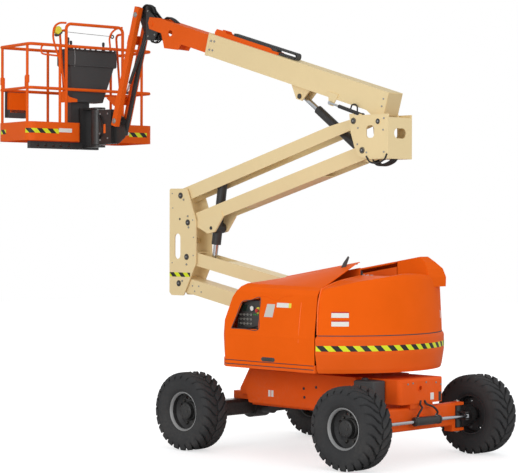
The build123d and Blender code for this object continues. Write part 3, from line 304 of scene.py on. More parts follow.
@dataclass(frozen=True)
class Finish:
    """One surface finish: paint, plastic, rubber or bare metal."""

    name: str
    colour: Colour
    rough: float = 0.35
    spread: float = 0.08
    metallic: float = 0.0
    coat: float = 0.0
    coat_rough: float = 0.1
    specular: float = 0.5
    grain: float = 260.0
    depth: float = 0.0001
    dust: float = 0.15
    tone: float = 0.04
    dust_height: float = 1.0

    def material(self) -> bpy.types.Material:
        """The material, made the first time it is asked for."""
        ready = bpy.data.materials.get(self.name)
        if ready:
            return ready
        made = bpy.data.materials.new(self.name)
        made.use_nodes = True
        tree = made.node_tree
        shader = tree.nodes["Principled BSDF"]
        relief = tree.nodes.new("ShaderNodeGroup")
        relief.node_tree = Groups.get("relief", relief_group)
        for node, label, value in (
            (shader, "Metallic", self.metallic), (shader, "Coat Weight", self.coat),
            (shader, "Coat Roughness", self.coat_rough), (shader, "Specular IOR Level", self.specular),
            (relief, "Scale", self.grain), (relief, "Depth", self.depth),
            (relief, "Rough", self.rough), (relief, "Spread", self.spread),
        ):
            node.inputs[label].default_value = value
        tree.links.new(relief.outputs["Normal"], shader.inputs["Normal"])
        tree.links.new(relief.outputs["Rough"], shader.inputs["Roughness"])
        self.colour_in(tree, shader)
        made.diffuse_color = (*self.colour, 1.0)
        return made

    def colour_in(self, tree: bpy.types.NodeTree, shader: bpy.types.Node) -> None:
        """Feeds the dusted colour to the shader."""
        weather = tree.nodes.new("ShaderNodeGroup")
        weather.node_tree = Groups.get("weather", weather_group)
        weather.inputs["Base"].default_value = (*self.colour, 1.0)
        weather.inputs["Amount"].default_value = self.dust
        weather.inputs["Tone"].default_value = self.tone
        weather.inputs["Height"].default_value = self.dust_height
        tree.links.new(weather.outputs["Colour"], shader.inputs["Base Color"])


@dataclass(frozen=True)
class WarningBars(Finish):
    """Slanted yellow and black bars that follow the piece's own length."""

    pitch: float = 0.11
    slant: float = 1.0
    bright: Colour = srgb(222, 232, 10)

    def colour_in(self, tree: bpy.types.NodeTree, shader: bpy.types.Node) -> None:
        """Feeds the bars to the shader."""
        bars = tree.nodes.new("ShaderNodeGroup")
        bars.node_tree = Groups.get("bars", stripe_group)
        bars.inputs["Dark"].default_value = (*self.colour, 1.0)
        bars.inputs["Bright"].default_value = (*self.bright, 1.0)
        bars.inputs["Pitch"].default_value = self.pitch
        bars.inputs["Slant"].default_value = self.slant
        tree.links.new(bars.outputs["Colour"], shader.inputs["Base Color"])


ORANGE = Finish("orange_paint", srgb(236, 94, 12), rough=0.5, specular=0.15, dust=0.1)
ORANGE_COVER = Finish("orange_cover_paint", srgb(242, 98, 12), rough=0.55, specular=0.05, dust=0.06)
ORANGE_FRAME = Finish("orange_frame_paint", srgb(236, 90, 14), rough=0.52, specular=0.15, dust=0.22)
ORANGE_CAST = Finish("orange_cast_paint", srgb(234, 94, 14), rough=0.5, specular=0.15, grain=90.0, depth=0.0004,
                     dust=0.1)
CREAM = Finish("cream_paint", srgb(238, 214, 164), rough=0.5, specular=0.2, dust=0.07, tone=0.02)
BLACK_PAINT = Finish("black_paint", srgb(38, 37, 37), rough=0.4, coat=0.1, dust=0.25, dust_height=0.9)
BLACK_PLASTIC = Finish("black_plastic", srgb(40, 39, 39), rough=0.55, grain=420.0, depth=0.0002, dust=0.2)
GREY_PLASTIC = Finish("console_plastic", srgb(58, 57, 57), rough=0.55, grain=420.0, depth=0.0002, dust=0.12)
HOSE = Finish("hose_rubber", srgb(30, 30, 30), rough=0.5, grain=600.0, depth=0.0002, dust=0.15)
TYRE = Finish("tyre_rubber", srgb(54, 54, 55), rough=0.78, spread=0.1, grain=160.0, depth=0.0005, specular=0.3,
              dust=0.12, tone=0.1, dust_height=0.9)
# dark grey wheel discs, darkened as painted shade for the deep dish
RIM_SHADE = Finish("rim_painted_shade", srgb(54, 54, 55), rough=0.5, dust=0.12, grain=120.0, depth=0.0002)
HUB = Finish("hub_paint", srgb(38, 38, 39), rough=0.5, dust=0.1)
CHROME = Finish("rod_chrome", srgb(205, 207, 210), rough=0.1, spread=0.06, metallic=1.0, dust=0.03, tone=0.02)
ZINC = Finish("zinc_steel", srgb(168, 166, 160), rough=0.34, metallic=0.9, dust=0.1, grain=500.0)
STEEL_DARK = Finish("oiled_steel", srgb(84, 82, 80), rough=0.42, metallic=0.8, dust=0.15)
ENGINE = Finish("engine_grey", srgb(70, 71, 73), rough=0.5, metallic=0.4, dust=0.3)
LABEL = Finish("label_white", srgb(232, 230, 224), rough=0.4, grain=800.0, depth=0.00005, dust=0.04)
LABEL_YELLOW = Finish("label_yellow", srgb(236, 222, 60), rough=0.4, grain=800.0, depth=0.00005, dust=0.04)
LABEL_GREY = Finish("label_grey", srgb(206, 202, 192), rough=0.42, grain=800.0, depth=0.00005, dust=0.04)
LABEL_RED = Finish("label_red", srgb(196, 40, 28), rough=0.42, grain=800.0, depth=0.00005, dust=0.04)
# light orange, a painted highlight on the rear cover's front edges and the hood's upright crease; the actuator
# strap wears it too
ORANGE_HIGHLIGHT = Finish("orange_painted_highlight", srgb(250, 108, 30), rough=0.4, specular=0.35, dust=0.05)
# darker cream: painted shade on the boom's rear end face
CREAM_SHADE = Finish("cream_painted_shade", srgb(220, 194, 146), rough=0.46, specular=0.3, dust=0.1)
ZINC_DULL = Finish("dull_zinc", srgb(158, 158, 158), rough=0.5, metallic=0.35, dust=0.3)
STOP_RED = Finish("stop_red", srgb(190, 28, 22), rough=0.3, coat=0.3, dust=0.03)
SCREEN = Finish("screen_glass", srgb(24, 40, 34), rough=0.12, dust=0.02)
LAMP_GREEN = Finish("lamp_green", srgb(70, 150, 74), rough=0.2, dust=0.02)
BARS = WarningBars("warning_bars_paint", srgb(20, 18, 14), rough=0.42, dust=0.1, pitch=0.15, slant=-1.0)


# Meshes as arrays


@dataclass(frozen=True)
class Yard:
    """Turns millimetres about the slewing axis into metres of the row frame."""

    x: float
    y: float

    def points(self, values: Array) -> Array:
        """Row-frame metres of an array of points."""
        return np.asarray(values, dtype=float) * MM + np.array([self.x, self.y, 0.0])


YARD = Yard(0.0, 0.0)


def grid_faces(rows: int, cols: int, wrap_rows: bool = False, wrap_cols: bool = False) -> Array:
    """Quads between the points of a grid stored row by row.

    Args:
        rows: Number of rows.
        cols: Number of points in a row.
        wrap_rows: Joins the last row to the first.
        wrap_cols: Joins the last point of a row to its first.

    Returns:
        An array of four indices per quad.
    """
    r = np.arange(rows if wrap_rows else rows - 1)[:, None]
    c = np.arange(cols if wrap_cols else cols - 1)[None, :]
    r_next, c_next = (r + 1) % rows, (c + 1) % cols
    quads = [r * cols + c, r * cols + c_next, r_next * cols + c_next, r_next * cols + c]
    return np.stack(np.broadcast_arrays(*quads), axis=-1).reshape(-1, 4)


@dataclass
class Piece:
    """One mesh of the machine, with its finish and the CAD body it rides on."""

    name: str
    body: str
    finish: Finish
    smooth: float = 35.0
    obj: bpy.types.Object | None = None

    def fill(self, points: Array, faces: Iterable[Sequence[int]], uv: Array | None = None) -> Piece:
        """Makes the mesh from points in millimetres.

        Args:
            points: One row per point.
            faces: Indices of each face's points.
            uv: One row per point, in metres, if a pattern follows the surface.

        Returns:
            The piece itself.
        """
        mesh = bpy.data.meshes.new(self.name)
        mesh.from_pydata(YARD.points(points).tolist(), [], [list(map(int, f)) for f in faces])
        if uv is not None:
            layer = mesh.uv_layers.new(name="along")
            corner = np.empty(len(mesh.loops), dtype=np.int32)
            mesh.loops.foreach_get("vertex_index", corner)
            layer.data.foreach_set("uv", np.asarray(uv, dtype=np.float32)[corner].ravel())
        mesh.update()
        self.obj = bpy.data.objects.new(self.name, mesh)
        bpy.context.scene.collection.objects.link(self.obj)
        self.point_out()
        mesh.materials.append(self.finish.material())
        if self.smooth > 0:
            mesh.shade_smooth()
            mesh.set_sharp_from_angle(angle=math.radians(self.smooth))
        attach(self.obj, self.body)
        return self

    def point_out(self) -> None:
        """Turns every face of the closed mesh outwards."""
        work = bmesh.new()
        work.from_mesh(self.obj.data)
        bmesh.ops.remove_doubles(work, verts=work.verts, dist=1e-6)
        bmesh.ops.recalc_face_normals(work, faces=work.faces)
        work.to_mesh(self.obj.data)
        work.free()

    def bevel(self, width: float, segments: int = 2) -> Piece:
        """Rounds the edges by a width in millimetres."""
        made = self.obj.modifiers.new("rounded", "BEVEL")
        made.width = width * MM
        made.segments = segments
        made.limit_method = "ANGLE"
        made.angle_limit = math.radians(35)
        return self


def unit(vector: Array) -> Array:
    """Each row at length one."""
    vector = np.asarray(vector, dtype=float)
    return vector / np.linalg.norm(vector, axis=-1, keepdims=True)


def across(axis: Array) -> tuple[Array, Array]:
    """Two unit vectors square to an axis and to each other."""
    axis = unit(np.asarray(axis, dtype=float))
    helper = np.array([0.0, 0.0, 1.0]) if abs(axis[2]) < 0.9 else np.array([1.0, 0.0, 0.0])
    first = unit(np.cross(helper, axis))
    return first, np.cross(axis, first)


def smooth_path(points: Points, count: int = 40) -> Array:
    """Points on a smooth line through a few given ones.

    A Catmull-Rom cubic between each two neighbours, worked out for all samples at once.

    Args:
        points: The points to pass through.
        count: Number of samples on the whole line.

    Returns:
        One row per sample.
    """
    given = np.asarray(points, dtype=float)
    ends = np.vstack([2 * given[0] - given[1], given, 2 * given[-1] - given[-2]])
    place = np.linspace(0, len(given) - 1, count)
    left = np.minimum(place.astype(int), len(given) - 2)
    t = (place - left)[:, None]
    a, b, c, d = ends[left], ends[left + 1], ends[left + 2], ends[left + 3]
    return 0.5 * (2 * b + (c - a) * t + (2 * a - 5 * b + 4 * c - d) * t**2 + (3 * b - a - 3 * c + d) * t**3)


def swept(profile: Array, path: Array, up: Array) -> tuple[Array, list[list[int]]]:
    """A closed profile carried along a path, capped at both ends.

    Point (i, j) = path[i] + profile[j].x * side[i] + profile[j].y * top[i], where side is square to the tangent
    and to up, and top is square to both.

    Args:
        profile: Closed outline, one (side, top) row per point.
        path: One row per station.
        up: Direction that top leans to.

    Returns:
        The points and the faces.
    """
    tangent = unit(np.gradient(path, axis=0))
    side = unit(np.cross(tangent, np.asarray(up, dtype=float)))
    top = np.cross(side, tangent)
    points = path[:, None, :] + profile[None, :, :1] * side[:, None, :] + profile[None, :, 1:] * top[:, None, :]
    rows, cols = points.shape[:2]
    faces = grid_faces(rows, cols, wrap_cols=True).tolist()
    faces.append(list(range(cols)))
    faces.append([(rows - 1) * cols + i for i in range(cols)])
    return points.reshape(-1, 3), faces


def ring(radius: float, sides: int) -> Array:
    """Points of a circle in its own plane."""
    turn = np.linspace(0, 2 * np.pi, sides, endpoint=False)
    return np.stack([radius * np.cos(turn), radius * np.sin(turn)], axis=1)


def hose(name: str, body: str, points: Points, radius: float, finish: Finish = HOSE,
         up: Vec = (0.13, 0.97, 0.21), count: int = 48, sides: int = 12) -> Piece:
    """Round hose or bar along a smooth line through points in millimetres."""
    made, faces = swept(ring(radius, sides), smooth_path(points, count), np.asarray(up))
    return Piece(name, body, finish, smooth=60.0).fill(made, faces)


def turned(name: str, body: str, finish: Finish, centre: Vec, axis: Vec,
           profile: Sequence[tuple[float, float]], sides: int = 48, smooth: float = 35.0) -> Piece:
    """A profile of (radius, along) turned about an axis.

    Point (i, j) = centre + along[j] * axis + radius[j] * (cos a[i] * first + sin a[i] * second).

    Args:
        name: Name of the piece.
        body: CAD body that it rides on.
        finish: Its finish.
        centre: Where along is 0.
        axis: Direction of along.
        profile: Radius and distance of each point. It starts and ends on the axis, or runs round in a loop.
        sides: Stations round the axis.
        smooth: Largest angle that is shaded smooth, in degrees.

    Returns:
        The piece.
    """
    outline = np.asarray(profile, dtype=float)
    first, second = across(np.asarray(axis))
    turn = np.linspace(0, 2 * np.pi, sides, endpoint=False)[:, None, None]
    radius, along = outline[None, :, :1], outline[None, :, 1:]
    points = (np.asarray(centre) + along * unit(np.asarray(axis))
              + radius * (np.cos(turn) * first + np.sin(turn) * second))
    closed = bool(outline[0, 0] > 0)
    faces = grid_faces(sides, len(outline), wrap_rows=True, wrap_cols=closed)
    return Piece(name, body, finish, smooth=smooth).fill(points.reshape(-1, 3), faces)


def slab(name: str, body: str, finish: Finish, outline: Points, depth: Vec,
         bevel: float = 2.0) -> Piece:
    """A flat outline given thickness along a vector.

    Args:
        name: Name of the piece.
        body: CAD body that it rides on.
        finish: Its finish.
        outline: Corners of one face, in millimetres.
        depth: Vector from that face to the other.
        bevel: Rounding of its edges, or 0.

    Returns:
        The piece.
    """
    base = np.asarray(outline, dtype=float)
    count = len(base)
    points = np.vstack([base, base + np.asarray(depth, dtype=float)])
    turn = np.arange(count)
    walls = np.stack([turn, (turn + 1) % count, (turn + 1) % count + count, turn + count], axis=1).tolist()
    made = Piece(name, body, finish).fill(points, [*walls, list(range(count)), list(range(count, 2 * count))])
    return made.bevel(bevel) if bevel > 0 else made


def level_rect(z: float, low: Vec, high: Vec) -> list[tuple[float, float, float]]:
    """Corners of a level rectangle between two (x, y) corners."""
    return [(low[0], low[1], z), (high[0], low[1], z), (high[0], high[1], z), (low[0], high[1], z)]


def facing_rect(x: float, low: Vec, high: Vec) -> list[tuple[float, float, float]]:
    """Corners of an upright rectangle square to X, between two (y, z) corners."""
    return [(x, low[0], low[1]), (x, high[0], low[1]), (x, high[0], high[1]), (x, low[0], high[1])]


def box(name: str, body: str, finish: Finish, low: Vec, high: Vec,
        bevel: float = 3.0) -> Piece:
    """Upright box between two corners, with rounded edges."""
    return slab(name, body, finish, level_rect(low[2], low, high), (0, 0, high[2] - low[2]), bevel)


def studs(name: str, body: str, finish: Finish, centres: Points, axis: Vec,
          radius: float, height: float, sides: int = 6) -> Piece:
    """Bolt heads of one size, all facing along one axis, as one mesh.

    One head's points are worked out once and added to every centre.

    Args:
        name: Name of the piece.
        body: CAD body that it rides on.
        finish: Its finish.
        centres: Where each head's underside sits.
        axis: Direction that the heads face.
        radius: Radius over the corners.
        height: Height of a head.
        sides: Six for a hexagon, more for a round head.

    Returns:
        The piece.
    """
    first, second = across(np.asarray(axis))
    turn = np.linspace(0, 2 * np.pi, sides, endpoint=False)
    levels = np.array([(1.25, -2.0), (1.25, height * 0.22), (1.0, height * 0.24), (1.0, height * 0.86),
                       (0.86, height), (0.0, height)])
    round_about = np.cos(turn)[:, None] * first + np.sin(turn)[:, None] * second
    head = (radius * levels[:, 0][:, None, None] * round_about
            + levels[:, 1][:, None, None] * unit(np.asarray(axis, dtype=float)))
    points = np.asarray(centres, dtype=float)[:, None, None, :] + head[None]
    quads = grid_faces(len(levels), sides, wrap_cols=True)
    base = np.arange(len(centres))[:, None, None] * len(levels) * sides
    faces = (quads[None] + base).reshape(-1, 4).tolist()
    faces += [[int(b) + i for i in range(sides)] for b in base.ravel()]
    return Piece(name, body, finish, smooth=25.0).fill(points.reshape(-1, 3), faces)


def ribbon(name: str, body: str, path: Array, down: Vec, height: float, out: Array,
           thickness: float = 1.5, finish: Finish = BARS) -> Piece:
    """A thin strip that follows a path on a surface, with its length and height as UV.

    Args:
        name: Name of the piece.
        body: CAD body that it rides on.
        path: Its upper edge, one row per station.
        down: Unit vector across the strip.
        height: Width of the strip.
        out: Unit vector away from the surface, one row per station or one for all.
        thickness: How far it stands off the surface.
        finish: Its finish.

    Returns:
        The piece.
    """
    path = np.asarray(path, dtype=float)
    out = np.broadcast_to(np.asarray(out, dtype=float), path.shape)
    drop = np.asarray(down, dtype=float) * height
    loop = np.stack([path, path + out * thickness, path + out * thickness + drop, path + drop], axis=1)
    length = np.concatenate([[0.0], np.cumsum(np.linalg.norm(np.diff(path, axis=0), axis=1))]) * MM
    uv = np.stack([np.repeat(length[:, None], 4, axis=1),
                   np.tile(np.array([0.0, 0.0, height * MM, height * MM]), (len(path), 1))], axis=-1)
    rows = len(path)
    faces = grid_faces(rows, 4, wrap_cols=True).tolist()
    faces += [[0, 1, 2, 3], [(rows - 1) * 4 + i for i in range(4)]]
    return Piece(name, body, finish, smooth=30.0).fill(loop.reshape(-1, 3), faces, uv.reshape(-1, 2))


# Studio


@dataclass
class Studio:
    """Camera at the photograph's place, plain floor and soft light."""

    azimuth: float = 44.968
    pitch: float = 0.463
    roll: float = 0.131
    place: tuple[float, float, float] = (13225.0, -14389.0, 2477.0)
    focal_px: float = 1807.28
    frame_px: tuple[float, float] = (518.0, 473.0)
    centre_px: tuple[float, float] = (258.36, 236.75)
    sensor_mm: float = 36.0

    def camera(self) -> bpy.types.Object:
        """Sets the camera up from its place, turn and focal length in pixels."""
        data = bpy.data.cameras.new("camera")
        made = bpy.data.objects.new("camera", data)
        bpy.context.scene.collection.objects.link(made)
        wide, high = self.frame_px
        data.sensor_fit = "HORIZONTAL"
        data.sensor_width = self.sensor_mm
        data.lens = self.sensor_mm * self.focal_px / wide
        data.shift_x = (wide / 2 - self.centre_px[0]) / wide
        data.shift_y = (self.centre_px[1] - high / 2) / wide
        data.clip_end = 200.0
        made.location = YARD.points(np.array(self.place))
        turn = Matrix.Rotation(math.radians(self.azimuth), 3, "Z")
        tilt = Matrix.Rotation(math.radians(90.0 - self.pitch), 3, "X")
        lean = Matrix.Rotation(math.radians(self.roll), 3, "Z")
        made.rotation_euler = (turn @ tilt @ lean).to_euler()
        bpy.context.scene.camera = made
        return made

    def lamp(self, name: str, place: Vec, target: Vec, size: float, watts: float) -> None:
        """Adds a soft square lamp.

        Args:
            name: Name of the lamp.
            place: Where it stands, in metres of the row frame.
            target: Where it points.
            size: Side of the square.
            watts: Its power.
        """
        data = bpy.data.lights.new(name, "AREA")
        data.energy = watts
        data.size = size
        made = bpy.data.objects.new(name, data)
        bpy.context.scene.collection.objects.link(made)
        made.location = place
        made.rotation_euler = (Vector(target) - Vector(place)).to_track_quat("-Z", "Y").to_euler()

    def lights(self) -> None:
        """World light that shows white to the camera, and three soft lamps."""
        world = bpy.data.worlds.new("studio")
        bpy.context.scene.world = world
        world.use_nodes = True
        tree = world.node_tree
        tree.nodes.clear()
        sky, white = (tree.nodes.new("ShaderNodeBackground") for _ in range(2))
        for node, colour, strength in ((sky, (0.96, 0.98, 1.0, 1.0), 0.7), (white, (1.0, 1.0, 1.0, 1.0), 1.0)):
            node.inputs["Color"].default_value = colour
            node.inputs["Strength"].default_value = strength
        path = tree.nodes.new("ShaderNodeLightPath")
        mix = tree.nodes.new("ShaderNodeMixShader")
        out = tree.nodes.new("ShaderNodeOutputWorld")
        seen = tree.nodes.new("ShaderNodeMath")
        seen.operation = "MAXIMUM"
        for start, end in (
            (path.outputs["Is Camera Ray"], seen.inputs[0]),
            (path.outputs["Is Transmission Ray"], seen.inputs[1]), (seen.outputs[0], mix.inputs[0]),
            (sky.outputs[0], mix.inputs[1]), (white.outputs[0], mix.inputs[2]),
            (mix.outputs[0], out.inputs["Surface"]),
        ):
            tree.links.new(start, end)
        self.lamp("key", (4.5, -14.0, 4.5), (1.0, 0.0, 2.2), 6.0, 570.0)
        self.lamp("fill_front", (14.0, -3.0, 4.5), (1.0, 0.0, 2.2), 6.0, 330.0)
        self.lamp("fill_back", (-9.0, 9.0, 5.0), (0.0, 0.0, 2.2), 6.0, 250.0)

    def floor(self) -> None:
        """Pale floor that keeps the machine's shadow."""
        half = 30.0
        mesh = bpy.data.meshes.new("floor")
        mesh.from_pydata(level_rect(0, (-half, -half), (half, half)), [], [(0, 1, 2, 3)])
        made = bpy.data.objects.new("floor", mesh)
        bpy.context.scene.collection.objects.link(made)
        paint = bpy.data.materials.new("floor")
        paint.use_nodes = True
        tree = paint.node_tree
        shader = tree.nodes["Principled BSDF"]
        shader.inputs["Base Color"].default_value = (0.6, 0.6, 0.6, 1.0)
        shader.inputs["Roughness"].default_value = 0.9
        glow = tree.nodes.new("ShaderNodeEmission")
        glow.inputs["Color"].default_value = (1.0, 1.0, 1.0, 1.0)
        glow.inputs["Strength"].default_value = 0.62
        path = tree.nodes.new("ShaderNodeLightPath")
        gate = tree.nodes.new("ShaderNodeMixShader")
        none = tree.nodes.new("ShaderNodeEmission")
        none.inputs["Strength"].default_value = 0.0
        total = tree.nodes.new("ShaderNodeAddShader")
        for start, end in (
            (path.outputs["Is Camera Ray"], gate.inputs[0]), (none.outputs[0], gate.inputs[1]),
            (glow.outputs[0], gate.inputs[2]), (shader.outputs[0], total.inputs[0]),
            (gate.outputs[0], total.inputs[1]),
            (total.outputs[0], tree.nodes["Material Output"].inputs["Surface"]),
        ):
            tree.links.new(start, end)
        mesh.materials.append(paint)


# Running gear


@dataclass
class Tyre:
    """Bar-tread tyre as one mesh: a turned carcass and two rows of slanted lugs."""

    outer: float = 425.0
    tread: float = 399.0
    bead: float = 208.0
    half: float = 165.0
    lugs: int = 24
    lug_width: float = 84.0
    lean_deg: float = 15.0

    def carcass(self, sides: int = 96) -> tuple[Array, Array]:
        """Points and quads of the carcass about +Y.

        The section is a smooth line through a few (radius, y) points, with raised rings on the side walls:
        y += height * exp(-((radius - ring) / width)^2).
        """
        half = [(self.bead, 112), (222, 132), (250, 153), (290, 163), (330, 164), (362, 158), (386, 143),
                (396, 118), (self.tread + 2, 60)]
        section = smooth_path([*half, (self.tread + 4, 0.001), *[(r, -y) for r, y in reversed(half)]], 72)
        radius, along = section[:, 0], section[:, 1]
        side_wall = np.sign(along) * (np.abs(along) > 100)
        for place, high, wide in ((228.0, 3.0, 4.0), (243.0, 2.0, 3.0), (302.0, 1.6, 3.0), (352.0, 2.4, 4.0)):
            along = along + side_wall * high * np.exp(-(((radius - place) / wide) ** 2))
        inner = np.array([(self.bead, -112), (self.bead - 2, 0), (self.bead, 112)])
        loop = np.vstack([np.stack([radius, along], axis=1), inner[1:2]])
        turn = np.linspace(0, 2 * np.pi, sides, endpoint=False)[:, None]
        points = np.stack([loop[None, :, 0] * np.cos(turn), np.broadcast_to(loop[None, :, 1], (sides, len(loop))),
                           loop[None, :, 0] * np.sin(turn)], axis=-1)
        return points.reshape(-1, 3), grid_faces(sides, len(loop), wrap_rows=True, wrap_cols=True)

    def lug_row(self, side: int) -> tuple[Array, Array]:
        """Points and faces of one row of lugs.

        Station i runs from the crown to the shoulder. A lug's point is at radius r[i, j], angle
        a0 + lean * y[i] / half + offset[j] / outer and y[i], where j goes round its section.

        Args:
            side: +1 or -1 along Y.

        Returns:
            Points and quads, ends included.
        """
        y = np.array([8.0, 24.0, 52.0, 84.0, 92.0, 124.0, 146.0, 158.0, 166.0, 165.0])
        top = np.array([self.outer - 5, self.outer, self.outer, self.outer - 1, self.outer - 1, self.outer - 3,
                        self.outer - 10, self.outer - 24, self.outer - 46, self.outer - 66])
        wide = self.lug_width * np.array([0.8, 0.95, 0.98, 0.95, 0.98, 1.0, 1.02, 0.98, 0.88, 0.68])
        kink = np.array([0.0, 0.0, 6.0, 12.0, 26.0, 34.0, 38.0, 39.0, 39.0, 39.0])
        base = np.minimum(top - 8, self.tread - 12)
        across_lug = np.array([-0.58, -0.5, -0.42, 0.42, 0.5, 0.58])
        rise = np.array([0.0, 0.72, 1.0, 1.0, 0.72, 0.0])
        radius = base[:, None] + (top - base)[:, None] * rise[None, :]
        offset = (wide[:, None] * across_lug[None, :] + kink[:, None]) / self.outer
        start = math.pi / self.lugs if side > 0 else 0.0
        turn = (2 * np.pi * np.arange(self.lugs) / self.lugs + start)[:, None, None]
        lean = math.radians(self.lean_deg) * (y / self.half)[:, None]
        angle = turn + (offset + lean)[None]
        points = np.stack([radius[None] * np.cos(angle), np.broadcast_to(side * y[None, :, None], angle.shape),
                           radius[None] * np.sin(angle)], axis=-1)
        rows, cols = radius.shape
        quads = grid_faces(rows, cols, wrap_cols=True)
        ends = [list(range(cols)), [(rows - 1) * cols + i for i in range(cols)]]
        faces = [[int(i) + k * rows * cols for i in f] for k in range(self.lugs)
                 for f in (*quads.tolist(), *ends)]
        return points.reshape(-1, 3), faces

    def make(self, name: str, body: str, node: str, centre: Array) -> Piece:
        """The dressed tyre in place of its CAD node."""
        body_points, body_faces = self.carcass()
        points, faces = [body_points], body_faces.tolist()
        for side in (-1, 1):
            more, quads = self.lug_row(side)
            base = sum(len(p) for p in points)
            faces += [[i + base for i in f] for f in quads]
            points.append(more)
        made = Piece(name, body, TYRE, smooth=38.0).fill(np.vstack(points) + centre, faces)
        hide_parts(node)
        return made


@dataclass
class Wheels:
    """Tyres, wheel discs, hubs and nuts of all four wheels."""

    nuts: int = 9
    nut_circle: float = 136.0
    hub_bolts: int = 8
    hub_face: float = 96.0

    def make(self, joints: Sequence[dict]) -> None:
        """Builds each wheel at its spin joint."""
        tyre = Tyre()
        for joint in joints:
            if not joint["name"].endswith("_spin"):
                continue
            tag = joint["name"].removesuffix("_spin")
            centre = (np.array(joint["pos_m"]) - np.array([YARD.x, YARD.y, 0.0])) / MM
            side = 1.0 if centre[1] > 0 else -1.0
            tyre.make(f"tyre_dressed_{tag}", joint["child"], f"tyre_{tag}", centre)
            self.disc(tag, joint["child"], centre, side)

    def disc(self, tag: str, body: str, centre: Array, side: float) -> None:
        """Nuts, hub, lip and valve of one wheel; the lip ring is light grey, lighter metal brightened as a
        painted highlight.

        Args:
            tag: Name of the wheel.
            body: CAD body of the wheel.
            centre: Its centre.
            side: +1 for the far side, -1 for the near one.
        """
        out = np.array([0.0, side, 0.0])
        # light grey lip ring: lighter metal, brightened as a painted highlight
        turned(f"rim_lip_highlight_{tag}", body, ZINC_DULL, centre, out,
               [(190, 96), (198, 118), (206, 125), (213, 122), (209, 114), (200, 104), (196, 92)], 72, 50)
        turned(f"hub_drive_{tag}", body, HUB, centre, out,
               [(0, 96), (64, 96), (80, 93), (88, 85), (90, 40), (98, 34), (104, 26), (104, 2), (0, 2)], 56)
        face = centre + out * self.hub_face
        for name, count, start, circle, base, radius, height in (
            ("wheel_nuts", self.nuts, 0.2, self.nut_circle, centre + out * 6, 15, 22),
            ("hub_bolts", self.hub_bolts, 0.0, 66, face, 6, 6),
        ):
            turn = np.linspace(0, 2 * np.pi, count, endpoint=False) + start
            at = np.stack([np.cos(turn), np.zeros_like(turn), np.sin(turn)], axis=1)
            studs(f"{name}_{tag}", body, STEEL_DARK, base + circle * at, out, radius, height)
        studs(f"hub_plug_{tag}", body, STEEL_DARK, [face + np.array([30.0, 0, 0])], out, 10, 7)
        path = [centre + np.array(p) for p in ((150, side * 40, 92), (158, side * 66, 96), (164, side * 92, 98))]
        hose(f"valve_{tag}", body, path, 5, STEEL_DARK, up=(1, 0, 0), count=10, sides=8)


# Superstructure


